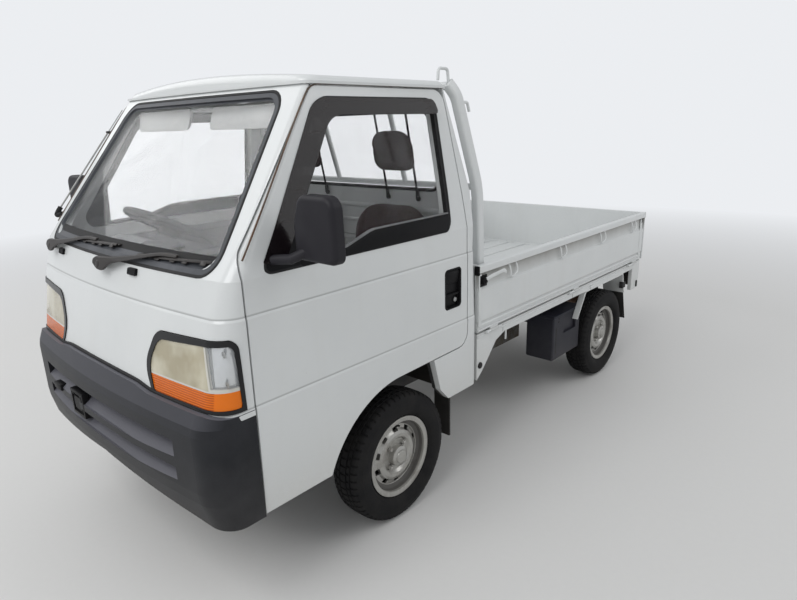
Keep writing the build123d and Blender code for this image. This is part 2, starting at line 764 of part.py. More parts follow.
# Steered knuckles: upright, strut foot, spindle and steering arm
for side, name in ((1, "left"), (-1, "right")):
    upright_low = tyre_radius - 61
    upright = move_z(Cylinder(22, strut_foot - upright_low - part_gap, align=on_base), upright_low)
    upright = Pos(side * kingpin_x, 0, 0) * upright
    upright += Pos(side * (kingpin_x + 12), 0, tyre_radius) * Box(50, 90, 110)
    upright += rod((side * kingpin_x, 0, tyre_radius), (side * spindle_out, 0, tyre_radius), spindle_radius)
    steer_arm = Pos(side * (kingpin_x - 6), 70, tyre_radius - 30) * Box(24, 110, 18)
    parts["knuckle_" + name] = upright + steer_arm

# Wheels: one rim and one tyre, turned about the axle, then set at the four corners
half_rim = rim_width / 2
well = bead_radius - 20
rim_profile = polygon(
    (-half_rim, flange_radius), (-half_rim + 5, flange_radius), (-half_rim + 7, bead_radius + 2),
    (-20, bead_radius - 2), (-12, well), (20, well), (26, bead_radius - 2), (half_rim - 7, bead_radius + 2),
    (half_rim - 5, flange_radius), (half_rim, flange_radius), (half_rim, flange_radius - 5),
    (half_rim - 3, bead_radius - 3), (30, bead_radius - 7), (24, well - 5), (-16, well - 5), (-24, bead_radius - 7),
    (-half_rim + 2, bead_radius - 3), (-half_rim, flange_radius - 5),
)
disc_profile = polygon(
    (18, well - 4), (22, well - 4), (26, well - 20), (34, well - 28), (40, well - 40), (38, well - 54),
    (28, well - 64), (28, hub_radius + 16), (52, hub_radius + 12), (58, hub_radius), (58, 0), (50, 0),
    (50, hub_radius - 4), (16, hub_radius), (16, well - 68), (30, well - 48), (20, well - 28), (14, well - 12),
)
rim = revolve(Plane.XY * rim_profile, Axis.X) + revolve(Plane.XY * disc_profile, Axis.X)
vent_count = 10
for index in range(vent_count):
    rim -= Rot(360 / vent_count * index, 0, 0) * Pos(22, 0, well - 18) * Box(40, 27, 20)
drum = Rot(0, 90, 0) * (Cylinder(well - 28, 56) - Cylinder(spindle_radius + spindle_clearance, 60))
rim += Pos(-10, 0, 0) * drum

half_tyre = tyre_width / 2
wide_radius = (bead_radius + tyre_radius) / 2 + 2.5
side_in_rim, bead_edge = half_rim - 5.3, half_rim - 7.6
shoulder_x, tread_x = half_tyre - 11.5, half_tyre - 25.5
tyre_profile = make_face(Wire([
    Line((-bead_edge, bead_radius + 2.6), (-side_in_rim, flange_radius + 0.6)),
    ThreePointArc((-side_in_rim, flange_radius + 0.6), (-half_tyre, wide_radius), (-shoulder_x, tyre_radius - 15)),
    ThreePointArc((-shoulder_x, tyre_radius - 15), (5 - shoulder_x, tyre_radius - 7), (-tread_x, tyre_radius - 4)),
    ThreePointArc((-tread_x, tyre_radius - 4), (0, tyre_radius), (tread_x, tyre_radius - 4)),
    ThreePointArc((tread_x, tyre_radius - 4), (shoulder_x - 5, tyre_radius - 7), (shoulder_x, tyre_radius - 15)),
    ThreePointArc((shoulder_x, tyre_radius - 15), (half_tyre, wide_radius), (side_in_rim, flange_radius + 0.6)),
    Line((side_in_rim, flange_radius + 0.6), (bead_edge, bead_radius + 2.6)),
    Line((bead_edge, bead_radius + 2.6), (half_rim - 14, bead_radius + 6)),
    ThreePointArc((half_rim - 14, bead_radius + 6), (0, tyre_radius - 19), (14 - half_rim, bead_radius + 6)),
    Line((14 - half_rim, bead_radius + 6), (-bead_edge, bead_radius + 2.6)),
]))
tyre = revolve(Plane.XY * tyre_profile, Axis.X)
corners = (
    ("front_left", 1, 0), ("front_right", -1, 0), ("rear_left", 1, wheelbase), ("rear_right", -1, wheelbase),
)
for name, side, y in corners:
    for kind, shape in (("rim_", rim), ("tyre_", tyre)):
        placed = shape if side == 1 else other_side(shape)
        parts[kind + name] = Pos(side * track / 2, y, tyre_radius) * placed

# Bed: ribbed deck with a lower lip for the headboard, skirts with the fairing behind the cab, headboard
deck_half = skirt_outer - skirt_plate
deck = box(-deck_half, deck_half, bed_front, bed_rear, deck_low, deck_height)
deck -= zone(y1=bed_front + bed_lip, z0=deck_height - bed_lip_step)
groove_pitch = deck_half / 4.69
for index in range(-4, 5):
    x = groove_pitch * index
    deck -= box(x - 28, x + 28, bed_front + bed_lip + 12, bed_rear - 40, deck_height - 5, deck_height + 5)
parts["bed_floor"] = deck

arch_low = fender_top - 140
fairing_low = quarter_sill
skirt_face = polygon(
    (bed_front, fairing_low), (bed_front + 3, fairing_low), (bed_front + 48, fairing_low + 37),
    (bed_front + 102, fairing_low + 94), (bed_front + 155, fairing_low + 151), (bed_front + 225, skirt_low),
    (wheelbase + 364, skirt_low), (wheelbase + 364, deck_low - 184), (bed_rear - 5, deck_low - 184),
    (bed_rear - 5, gate_hinge_z), (bed_front, gate_hinge_z),
)
skirt = side_plate(skirt_face, skirt_outer - skirt_plate, skirt_outer)
arch_face = polygon(
    (wheelbase - 395, arch_low), (wheelbase - 305, fender_top), (wheelbase + 215, fender_top),
    (wheelbase + 254, arch_low + 11), (wheelbase + 260, arch_low + 11), (wheelbase + 220, skirt_low + 4),
    (wheelbase - 309, skirt_low + 4), (wheelbase - 401, arch_low),
)
skirt += side_plate(arch_face, skirt_outer - 33, skirt_outer)
liner_face = polygon(
    (wheelbase - 278, fender_top), (wheelbase + 215, fender_top), (wheelbase + 254, arch_low + 11),
    (wheelbase + 260, arch_low + 11), (wheelbase + 220, skirt_low + 4), (wheelbase - 278, skirt_low + 4),
)
skirt += side_plate(liner_face, track / 2 - 62, skirt_outer)
parts["bed_skirts"] = both_sides(skirt)

lip_top = deck_height - bed_lip_step
board_front, board_rear = bed_front + 4, bed_front + 4 + headboard_plate
board_half = gate_inner - 8
headboard = box(-board_half, board_half, board_front, board_rear, lip_top, gate_top)
for low, high in ((gate_low + 53, gate_low + 195), (gate_low + 215, gate_top - 38)):
    for x in (-board_half * 0.66, 0, board_half * 0.66):
        headboard -= box(
            x - board_half * 0.3, x + board_half * 0.3, board_rear - 5, board_rear + 5, low, high
        )
parts["bed_headboard"] = headboard

# Guard frame: two posts that follow the cab's back, their feet, top bar, middle bar, uprights and rope hooks
guard = Part()
post_top = (half_width - 122.5, guard_top_y - 7, roof_line + 22)
post_section = RectangleRounded(post_width, post_depth, 11)
for side in left_and_right:
    foot = (side * post_x, post_y, lip_top + 2)
    knee = (side * (post_x - 8), post_y - 14, guard_knee_z)
    top = (side * (half_width - 107.5), roof_rear + 72, roof_line - 22)
    crown_point = (side * post_top[0], post_top[1], post_top[2])
    guard += bar([foot, knee, top, crown_point], post_section, [500, 110])
    guard += Pos(side * (post_x - 12), post_y, lip_top + 3) * Box(58, 70, 6)
    guard += box(
        side * (post_x - 18), side * (post_x + 12), board_rear, post_y, gate_top - 168, gate_top - 128
    )
    hook_x = side * post_top[0]
    guard += bar(
        [
            (hook_x, guard_top_y + 2, guard_top_z), (hook_x, guard_top_y - 7, hook_top),
            (hook_x, roof_rear - 22, hook_top), (hook_x, roof_rear - 26, hook_top - 44),
        ],
        hook_radius, 14,
    )
    hook_x = side * (half_width - 100)
    guard += bar(
        [
            (hook_x, roof_rear + 88, roof_line - 78), (hook_x, roof_rear + 110, roof_line - 50),
            (hook_x, roof_rear + 138, roof_line - 50), (hook_x, roof_rear + 152, roof_line - 86),
        ],
        hook_radius, 10,
    )
guard += rod((-post_top[0], guard_top_y, guard_top_z), (post_top[0], guard_top_y, guard_top_z), 16)
knee_x, knee_y = post_x - 8, post_y - 15
guard += rod((-knee_x, knee_y, guard_knee_z + 6), (knee_x, knee_y, guard_knee_z + 6), 14)
for side in left_and_right:
    x = side * post_x * 0.353
    guard += bar([(x, knee_y, guard_knee_z + 6), (x, guard_top_y + 2, guard_top_z)], 12)
parts["guard_frame"] = guard


def gate_profile(outer, inner):
    """Pressed gate in section, outer face first: rolled top rail, two creases, return at the foot."""
    return polygon(
        (inner, gate_low), (outer - 4, gate_low), (outer - 4, gate_low + 43), (outer, gate_low + 53),
        (outer, gate_low + 195), (outer - 5, gate_low + 205), (outer - 5, gate_top - 38), (outer + 6, gate_top - 32),
        (outer + 6, gate_top), (inner, gate_top), radius=[0, 2, 3, 3, 3, 3, 2, 3, 8, 3],
    )


hinge_half = 30
side_gate = front_plate(gate_profile(gate_outer, gate_inner), bed_front, gate_end)
for y in (bed_front + 120, (bed_front + gate_end) / 2, gate_end - 118):
    side_gate += rod(
        (gate_hinge_x, y - hinge_half, gate_hinge_z), (gate_hinge_x, y + hinge_half, gate_hinge_z), gate_hinge_radius
    )
    side_gate += box(gate_outer - 6, gate_hinge_x, y - hinge_half, y + hinge_half, gate_hinge_z, gate_low + 8)
parts["gate_left"] = side_gate
parts["gate_right"] = other_side(side_gate)

tail_outer = bed_rear + 17
tailgate = side_plate(gate_profile(tail_outer, bed_rear), -gate_outer, gate_outer)
tail_hinge_y = wheelbase + rear_overhang - gate_hinge_radius
for x in (-gate_outer * 0.76, 0, gate_outer * 0.76):
    tailgate += rod(
        (x - hinge_half, tail_hinge_y, gate_hinge_z), (x + hinge_half, tail_hinge_y, gate_hinge_z), gate_hinge_radius
    )
    tailgate += box(x - hinge_half, x + hinge_half, tail_outer - 8, tail_hinge_y, gate_hinge_z, gate_low + 8)
parts["tailgate"] = tailgate

# Things under the bed
side_box_top = deck_low - 134
side_box = fillet(
    box(under_bed_outer - 170, under_bed_outer, side_box_front, side_box_rear, side_box_low, side_box_top).edges(), 10
)
side_box -= box(
    under_bed_outer - 14, under_bed_outer + 1, side_box_front + 120, side_box_rear - 55, side_box_top - 120,
    side_box_top - 22,
)
side_box += box(
    under_bed_outer - 140, under_bed_outer - 100, side_box_front + 29, side_box_rear - 31, side_box_top - 10, deck_low
)
parts["battery_box"] = side_box

flaps = []
for side in left_and_right:
    flaps.append(box(
        side * (track / 2 - 40), side * (track / 2 + 44), wheelhouse_rear - 28, wheelhouse_rear - 20 - part_gap,
        tyre_radius - 56, quarter_sill + 44,
    ))
    flap_top, flap_y = arch_low + 11 - part_gap, wheelbase + 254 + part_gap
    tail_flap = polygon(
        (flap_y, flap_top), (flap_y + 6, flap_top), (flap_y + 63, tyre_radius + 18), (flap_y + 57, tyre_radius + 18)
    )
    flaps.append(side_plate(tail_flap, side * (track / 2 - 57), side * (skirt_outer - 6)))
parts["mud_flaps"] = flaps

lamps = []
for side in left_and_right:
    inner, outer = side * (half_width - 277.5), side * (half_width - 47.5)
    lamps.append(box(inner, outer, bed_rear - 5, bed_rear + 8, deck_low - 154, deck_low - 64))
parts["tail_lamps"] = lamps
beam_edge = skirt_outer - skirt_plate - 1
beam = box(-beam_edge, beam_edge, frame_rear, bed_rear - 5 - part_gap, deck_low - 174, deck_low)
for x in (-plate_hole_gap / 2, plate_hole_gap / 2):
    beam -= rod((x, frame_rear - 25, plate_hole_z), (x, bed_rear + 20, plate_hole_z), plate_hole_radius)
parts["rear_beam"] = beam

# Write one file per node, with Y moved so that the origin is under the middle of the whole
centre_shift = Pos(0, (front_overhang - wheelbase - rear_overhang) / 2, 0)
os.makedirs("parts", exist_ok=True)
for name, shape in parts.items():
    solids = shape if isinstance(shape, list) else [shape]
    placed = [centre_shift * solid for sub in solids for solid in sub.solids()]
    export_step(Compound(children=placed) if len(placed) > 1 else placed[0], "parts/" + name + ".step")
    print(name, len(placed))
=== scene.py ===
from math import cos, hypot, pi, radians, sin, sqrt

import bmesh
import bpy
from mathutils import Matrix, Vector


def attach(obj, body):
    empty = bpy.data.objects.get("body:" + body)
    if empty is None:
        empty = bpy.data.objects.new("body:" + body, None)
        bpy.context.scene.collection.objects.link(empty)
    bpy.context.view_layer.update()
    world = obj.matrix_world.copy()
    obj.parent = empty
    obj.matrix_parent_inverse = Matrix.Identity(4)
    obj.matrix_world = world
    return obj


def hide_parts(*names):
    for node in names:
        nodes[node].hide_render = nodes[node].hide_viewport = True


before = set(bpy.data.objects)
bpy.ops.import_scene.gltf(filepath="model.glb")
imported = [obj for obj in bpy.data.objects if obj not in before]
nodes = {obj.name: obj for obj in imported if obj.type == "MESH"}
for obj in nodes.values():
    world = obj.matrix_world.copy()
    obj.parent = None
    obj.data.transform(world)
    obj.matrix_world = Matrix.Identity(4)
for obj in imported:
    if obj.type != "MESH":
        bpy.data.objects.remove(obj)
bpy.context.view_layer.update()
print("frame loaded")

# Shared measures of the truck, in metres
truck = {
    "axleY": -0.7625, "wheelbase": 1.9, "halfTrack": 0.602, "tyreRadius": 0.271, "halfWidth": 0.6975, "gateOut": 0.684,
}
# Cab skin: height, nose line behind the front axle, tuck of the side, curve of the front
cabRows = [
    (0.385, -0.800, 0.0075, 5.2), (0.755, -0.846, 0.0005, 5.2), (0.763, -0.843, 0.0035, 5.2),
    (1.036, -0.798, 0.0035, 5.2), (1.044, -0.793, 0.0065, 5.2), (1.150, -0.765, 0.0065, 4.6),
    (1.290, -0.6575, 0.0245, 4.6), (1.690, -0.348, 0.0925, 6.5),
]


def aft(distance):
    # y of a place so far behind the front axle
    return truck["axleY"] + distance


def between(height, column):
    for lower, upper in zip(cabRows, cabRows[1:]):
        if height <= upper[0]:
            share = max((height - lower[0]) / (upper[0] - lower[0]), 0)
            return column(lower) * (1 - share) + column(upper) * share
    return column(cabRows[-1])


def sideX(height):
    return truck["halfWidth"] - between(height, lambda row: row[2])


def noseY(x, height):
    share = x / sideX(height)

    def curve(row):
        out = share * (truck["halfWidth"] - row[2])
        return row[1] + row[3] - sqrt(row[3] ** 2 - out ** 2)

    return aft(between(height, curve))


def lampSplit(up):
    # x of the frame between head and side lamp at a height, which may be a shader's value too
    return 0.616 + (0.966 - up) * 0.22


# Small workshop helpers
def clearAll():
    if bpy.context.object and bpy.context.object.mode != "OBJECT":
        bpy.ops.object.mode_set(mode="OBJECT")
    bpy.ops.object.select_all(action="DESELECT")


def grab(piece):
    clearAll()
    piece.select_set(True)
    bpy.context.view_layer.objects.active = piece


def edit(piece):
    grab(piece)
    bpy.ops.object.mode_set(mode="EDIT")
    bpy.ops.mesh.select_all(action="SELECT")


def leave():
    bpy.ops.object.mode_set(mode="OBJECT")


def pick(piece, kind, rule):
    # selects only the faces, edges or verts that the rule takes, and says how many
    bpy.ops.mesh.select_mode(type={"faces": "FACE", "edges": "EDGE", "verts": "VERT"}[kind])
    bpy.ops.mesh.select_all(action="DESELECT")
    mesh = bmesh.from_edit_mesh(piece.data)
    taken = [bit for bit in getattr(mesh, kind) if rule(bit)]
    for bit in taken:
        bit.select_set(True)
    mesh.select_flush_mode()
    bmesh.update_edit_mesh(piece.data)
    return len(taken)


def everyFace(face):
    return True


def manySided(face):
    return len(face.verts) > 4


def facing(axis, way=1):
    return lambda face: getattr(face.normal, axis) * way > 0.9


def flip(piece):
    edit(piece)
    bpy.ops.mesh.flip_normals()
    leave()


def called(piece, name):
    piece.name = piece.data.name = name
    return piece


def settle(name):
    piece = called(bpy.context.object, name)
    bpy.ops.object.transform_apply(location=True, rotation=True, scale=True)
    return piece


def block(name, low, high, edge=0.003, steps=2):
    low, high = Vector(low), Vector(high)
    clearAll()
    bpy.ops.mesh.primitive_cube_add(size=1, location=(low + high) / 2, scale=high - low)
    piece = settle(name)
    edit(piece)
    bpy.ops.mesh.bevel(offset=edge, segments=steps, affect="EDGES")
    leave()
    return piece


def bricks(rows, shift=0.0):
    # each row has two corners, with y as the distance behind the front axle, its rounding and the steps of it
    made = []
    for (x0, u0, z0), (x1, u1, z1), edge, steps in rows:
        made.append(block("brick", (shift + x0, aft(u0), z0), (shift + x1, aft(u1), z1), edge, steps))
    return made


def drum(name, centre, radius, depth, axis="X", edge=0.002, sides=32, steps=2):
    turn = {"X": (0, pi / 2, 0), "Y": (pi / 2, 0, 0), "Z": (0, 0, 0)}[axis]
    clearAll()
    bpy.ops.mesh.primitive_cylinder_add(vertices=sides, radius=radius, depth=depth, location=centre, rotation=turn)
    piece = settle(name)
    edit(piece)
    pick(piece, "edges", lambda line: any(len(face.verts) > 4 for face in line.link_faces))
    bpy.ops.mesh.bevel(offset=edge, segments=steps, affect="EDGES")
    leave()
    return piece


def bentRod(name, points, radius, resolution=3):
    clearAll()
    bpy.ops.curve.primitive_nurbs_path_add()
    path = bpy.context.object
    path.data.splines.clear()
    spline = path.data.splines.new("NURBS")
    spline.points.add(len(points) - 1)
    for point, place in zip(spline.points, points):
        point.co = (*place, 1)
    spline.order_u, spline.use_endpoint_u = 3, True
    path.data.bevel_depth, path.data.bevel_resolution = radius, resolution
    path.data.use_fill_caps, path.data.resolution_u = True, 8
    bpy.ops.object.convert(target="MESH")
    return settle(name)


def rod(points, radius, resolution=3):
    # y of each point is its distance behind the front axle
    return bentRod("rod", [(x, aft(u), z) for x, u, z in points], radius, resolution)


def plate(name, corners, view="front", longest=0.0):
    # a flat face drawn in front view (x, z) or side view (y, z), each corner with its rounding
    turn = (pi / 2, 0, 0) if view == "front" else (pi / 2, 0, pi / 2)
    clearAll()
    bpy.ops.mesh.primitive_circle_add(vertices=len(corners), radius=0.1, fill_type="NGON", rotation=turn)
    piece = settle(name)
    places = [Vector((a, 0, z) if view == "front" else (0, a, z)) for a, z, _ in corners]
    for point, place in zip(piece.data.vertices, places):
        point.co = place
    edit(piece)
    bpy.ops.mesh.normals_make_consistent(inside=False)
    leave()
    facing = piece.data.polygons[0].normal
    edit(piece)
    if facing.y > 0.5 or facing.x < -0.5:
        bpy.ops.mesh.flip_normals()
    for place, (_, _, rounding) in zip(places, corners):
        if rounding:
            pick(piece, "verts", lambda point: (point.co - place).length < 1e-5)
            bpy.ops.mesh.bevel(offset=rounding, segments=6, affect="VERTICES")
    while longest and pick(piece, "edges", lambda line: line.calc_length() > longest):
        bpy.ops.mesh.subdivide(number_cuts=1)
    leave()
    return piece


def sidePlate(name, corners, longest=0.0):
    return plate(name, [(aft(u), z, rounding) for u, z, rounding in corners], "side", longest)


def insetFaces(piece, rule, steps):
    # each step goes in by the first number and up by the second
    edit(piece)
    pick(piece, "faces", rule)
    for thickness, depth in steps:
        bpy.ops.mesh.inset(thickness=max(thickness, 1e-5), depth=depth, use_boundary=True, use_even_offset=True)
    leave()


def dropFaces(piece, rule):
    edit(piece)
    pick(piece, "faces", rule)
    bpy.ops.mesh.delete(type="FACE")
    leave()


def thicken(piece, amount, offset=-1.0, edge=0.0, steps=2):
    grab(piece)
    wall = piece.modifiers.new("wall", "SOLIDIFY")
    wall.thickness, wall.offset = amount, offset
    bpy.ops.object.modifier_apply(modifier="wall")
    if edge:
        soften(piece, edge, steps)


def soften(piece, edge, steps=2, angle=40):
    grab(piece)
    rim = piece.modifiers.new("rim", "BEVEL")
    rim.width, rim.segments, rim.limit_method, rim.angle_limit = edge, steps, "ANGLE", radians(angle)
    bpy.ops.object.modifier_apply(modifier="rim")


def layOnNose(piece):
    for point in piece.data.vertices:
        point.co.y += noseY(point.co.x, point.co.z)


def layOnSide(piece):
    for point in piece.data.vertices:
        point.co.x += sideX(point.co.z)


def turned(name, profile, steps=48, closed=False):
    # a profile of (across, radius) spun round the X axis through the origin
    clearAll()
    bpy.ops.mesh.primitive_circle_add(vertices=len(profile), radius=0.1, fill_type="NOTHING")
    piece = settle(name)
    for point, (x, r) in zip(piece.data.vertices, profile):
        point.co = (x, 0, r)
    edit(piece)
    if not closed:
        ends = {0, len(profile) - 1}
        pick(piece, "edges", lambda bit: {point.index for point in bit.verts} == ends)
        bpy.ops.mesh.delete(type="EDGE")
    bpy.ops.mesh.select_all(action="SELECT")
    bpy.ops.mesh.spin(steps=steps, angle=2 * pi, center=(0, 0, 0), axis=(1, 0, 0))
    bpy.ops.mesh.select_all(action="SELECT")
    bpy.ops.mesh.remove_doubles(threshold=0.0002)
    bpy.ops.mesh.normals_make_consistent(inside=False)
    leave()
    outward = sum((face.center.y * face.normal.y + face.center.z * face.normal.z) for face in piece.data.polygons)
    if outward < 0 and not closed:
        flip(piece)
    return piece


def shifted(piece, move, turn=0.0, axis="X"):
    # turned about the origin, then moved
    edit(piece)
    if turn:
        # without a window the operator turns the other way
        bpy.ops.transform.rotate(value=-turn, orient_axis=axis, center_override=(0, 0, 0))
    bpy.ops.transform.translate(value=move)
    leave()
    return piece


def copyOf(piece, name, move=(0, 0, 0), mirrored=False):
    # its own mesh; flipped to the other side, then moved
    grab(piece)
    bpy.ops.object.duplicate(linked=False)
    copy = called(bpy.context.object, name)
    edit(copy)
    if mirrored:
        bpy.ops.transform.resize(value=(-1, 1, 1), center_override=(0, 0, 0))
        bpy.ops.mesh.flip_normals()
    if any(move):
        bpy.ops.transform.translate(value=move)
    leave()
    return copy


def joined(name, pieces):
    clearAll()
    for piece in pieces:
        piece.select_set(True)
    bpy.context.view_layer.objects.active = pieces[0]
    bpy.ops.object.join()
    return called(pieces[0], name)


def done(piece, body, look, smooth=35):
    grab(piece)
    bpy.ops.object.shade_smooth_by_angle(angle=radians(smooth))
    piece.data.materials.clear()
    piece.data.materials.append(looks[look])
    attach(piece, body)
    return piece


def donePair(piece, title, body, look, smooth=35):
    # the piece on the left and its mirror image on the right, on the chassis or on a body of each side
    twin = copyOf(piece, title + "_right", mirrored=True)
    bodies = [body if body == "chassis" else body + hand for hand in ("_left", "_right")]
    both = (called(piece, title + "_left"), twin)
    return [done(half, home, look, smooth) for half, home in zip(both, bodies)]


# Shader wiring
class Line:
    def __init__(self, bench, socket):
        self.bench, self.socket = bench, socket

    def __add__(self, other):
        return self.bench.maths("ADD", self, other)

    def __radd__(self, other):
        return self.bench.maths("ADD", other, self)

    def __sub__(self, other):
        return self.bench.maths("SUBTRACT", self, other)

    def __rsub__(self, other):
        return self.bench.maths("SUBTRACT", other, self)

    def __mul__(self, other):
        return self.bench.maths("MULTIPLY", self, other)

    def __rmul__(self, other):
        return self.bench.maths("MULTIPLY", other, self)


class Bench:
    def __init__(self, name, **fixed):
        self.material = bpy.data.materials.new(name)
        self.material.use_nodes = True
        self.tree = self.material.node_tree
        self.shader = self.tree.nodes["Principled BSDF"]
        for socket, value in fixed.items():
            self.shader.inputs[socket.replace("_", " ")].default_value = value

    def add(self, kind, settings, inputs, output=0):
        node = self.tree.nodes.new(kind)
        for key, value in settings.items():
            if key == "stops":
                ramp = node.color_ramp
                while len(ramp.elements) < len(value):
                    ramp.elements.new(0.5)
                for element, (place, colour) in zip(ramp.elements, value):
                    element.position, element.color = place, (*colour, 1)
            else:
                setattr(node, key, value)
        for key, value in inputs.items():
            self.feed(node.inputs[key], value)
        return Line(self, node.outputs[output])

    def feed(self, socket, value):
        if isinstance(value, Line):
            self.tree.links.new(value.socket, socket)
        else:
            socket.default_value = value

    def maths(self, operation, first, second=0.0):
        return self.add("ShaderNodeMath", {"operation": operation}, {0: first, 1: second})

    def place(self, stretch=(1, 1, 1)):
        spot = self.add("ShaderNodeTexCoord", {}, {}, "Object")
        if stretch == (1, 1, 1):
            return spot
        return self.add("ShaderNodeMapping", {}, {"Vector": spot, "Scale": stretch})

    def axis(self, name):
        return self.add("ShaderNodeSeparateXYZ", {}, {0: self.place()}, name)

    def height(self):
        return self.axis("Z")

    def along(self):
        return self.axis("Y")

    def across(self):
        # distance from the truck's middle plane
        return self.maths("ABSOLUTE", self.axis("X"))

    def noise(self, scale, detail=3.0, rough=0.55, stretch=(1, 1, 1)):
        values = {"Vector": self.place(stretch), "Scale": scale, "Detail": detail, "Roughness": rough}
        return self.add("ShaderNodeTexNoise", {}, values)

    def cells(self, scale):
        return self.add("ShaderNodeTexVoronoi", {}, {"Vector": self.place(), "Scale": scale})

    def spread(self, value, low, high, first=0.0, last=1.0):
        inputs = {"Value": value, "From Min": low, "From Max": high, "To Min": first, "To Max": last}
        return self.add("ShaderNodeMapRange", {}, inputs)

    def blend(self, mask, first, second):
        first, second = [(*c, 1) if isinstance(c, tuple) else c for c in (first, second)]
        return self.add("ShaderNodeMix", {"data_type": "RGBA"}, {0: mask, 6: first, 7: second}, 2)

    def relief(self, height, strength, distance, rounding=0.0):
        inputs = {"Height": height, "Strength": strength, "Distance": distance}
        if rounding:
            inputs["Normal"] = self.add("ShaderNodeBevel", {"samples": 4}, {"Radius": rounding})
        return self.add("ShaderNodeBump", {}, inputs)

    def finish(self, **inputs):
        for socket, value in inputs.items():
            self.feed(self.shader.inputs[socket.replace("_", " ")], value)
        return self.material


paints = {
    "white": (0.70, 0.715, 0.71), "shade": (0.63, 0.65, 0.65), "dust": (0.42, 0.385, 0.32),
    # grime, also used as painted shade in the gate's bands
    "grimeAndShade": (0.16, 0.145, 0.12), "rust": (0.22, 0.09, 0.035), "tar": (0.016, 0.015, 0.015),
    # painted shade for the corner above each crease
    "seam": (0.20, 0.205, 0.20),
}


def paintedSteel(name, wear, bands=(), coated=0.0, creases=()):
    bench = Bench(name, Coat_Roughness=0.12, Specular_IOR_Level=0.45)
    patches = bench.noise(3.5, 4, 0.6)
    specks = bench.noise(95, 3, 0.7)
    low = bench.spread(bench.height() + patches * 0.22, 0.42, 0.86, 1.0, 0.0)
    streaks = bench.spread(bench.noise(9, 4, 0.6, (1.0, 1.0, 0.12)), 0.52, 0.78)
    dust = low * low * (0.30 + 0.25 * wear) * (0.45 + specks) + streaks * 0.05 * (1 + wear)
    chips = bench.spread(bench.cells(26), 0.036, 0.030, 0.0, 1.0) * bench.spread(bench.noise(4), 0.5, 0.62)
    tone = bench.blend(patches, paints["white"], paints["shade"])
    tone = bench.blend(dust, tone, paints["dust"])
    tone = bench.blend(chips * (0.35 + 0.5 * wear), tone, paints["rust"])
    scuffs = bench.spread(bench.noise(60, 5, 0.75, (1, 0.25, 1)), 0.58, 0.75)
    tone = bench.blend(scuffs * (0.02 + 0.10 * wear), tone, paints["grimeAndShade"])
    for first, last, strength in bands:
        # dirt and painted shade under a rail or along a fold, between two heights, on the outside: the face is
        # darkened where the rail and the folds shade it
        band = bench.spread(bench.height(), first, last - 0.004) * bench.spread(bench.height(), last, last - 0.004)
        band = band * bench.spread(bench.across(), 0.668, 0.670)
        tone = bench.blend(band * (0.35 + patches) * strength, tone, paints["grimeAndShade"])
    for crease in creases:
        # painted shade, with some dirt: a fine dark line in the corner above each pressed ledge
        line = bench.spread(bench.height(), crease - 0.002, crease)
        line = line * bench.spread(bench.height(), crease + 0.006, crease + 0.001)
        tone = bench.blend(line * (0.45 + patches * 0.3), tone, paints["seam"])
    # tar coating on what faces the wheels, from behind the bumper back
    inside = bench.spread(bench.across(), 0.6665, 0.6655) * bench.spread(bench.height(), 0.690, 0.680)
    inside = inside * bench.spread(bench.along(), aft(-0.50), aft(-0.49)) * coated
    tone = bench.blend(inside * (0.90 + 0.1 * specks), tone, paints["tar"])
    rough = 0.24 + 0.30 * dust + patches * 0.10 + scuffs * 0.12 * wear + inside * 0.3
    ripple = bench.noise(420, 2, 0.5) * 0.6 + bench.noise(7, 2, 0.5) * 2.2
    return bench.finish(
        Base_Color=tone, Roughness=rough + 0.12 * wear, Coat_Weight=0.55 - 0.35 * wear - dust * 0.3 - inside * 0.5,
        Normal=bench.relief(ripple, 0.12, 0.0006, 0.0022),
    )


def mouldedPlastic(
    name, dark, pale, rough=0.5, grain=600, depth=0.00035, worn=0.25, paintedTopHighlight=0.0, paintedHighlightTone=(0, 0, 0), shine=0.28,
):
    bench = Bench(name, Specular_IOR_Level=shine)
    patches = bench.noise(6, 4, 0.6)
    fine = bench.noise(grain, 2, 0.6)
    chalk = bench.spread(patches + fine * 0.25, 0.55, 0.85)
    tone = bench.blend(chalk * worn, dark, pale)
    low = bench.spread(bench.height(), 0.25, 0.65, 0.10, 0.0)
    tone = bench.blend(low * patches, tone, paints["dust"])
    if paintedTopHighlight:
        # painted highlight: faces that look up are lightened, standing for the sky's reflection on the top
        facing = bench.add("ShaderNodeSeparateXYZ", {}, {0: bench.add("ShaderNodeTexCoord", {}, {}, "Normal")}, "Z")
        tone = bench.blend(bench.spread(facing, 0.12, 0.75) * paintedTopHighlight, tone, paintedHighlightTone)
    return bench.finish(
        Base_Color=tone, Roughness=rough + patches * 0.16 - 0.05, Normal=bench.relief(fine, 0.35, depth, 0.0015)
    )


def clearGlass(name, tint, alpha):
    bench = Bench(name, Transmission_Weight=1.0, IOR=1.45, Base_Color=(*tint, 1))
    film = bench.spread(bench.noise(5, 5, 0.65), 0.45, 0.8)
    smears = bench.spread(bench.noise(14, 4, 0.6, (1, 1, 0.3)), 0.5, 0.8)
    return bench.finish(Roughness=0.012 + film * 0.03, Alpha=alpha + film * 0.03 + smears * 0.03)


def smokedAcrylic(name, tint, alpha):
    bench = Bench(name, IOR=1.49, Specular_IOR_Level=0.30)
    scratches = bench.spread(bench.noise(26, 5, 0.7, (1, 0.35, 1.6)), 0.52, 0.72)
    tone = bench.blend(scratches * 0.3, tint, (0.05, 0.040, 0.036))
    return bench.finish(Base_Color=tone, Roughness=0.14 + scratches * 0.25, Alpha=alpha + scratches * 0.06)


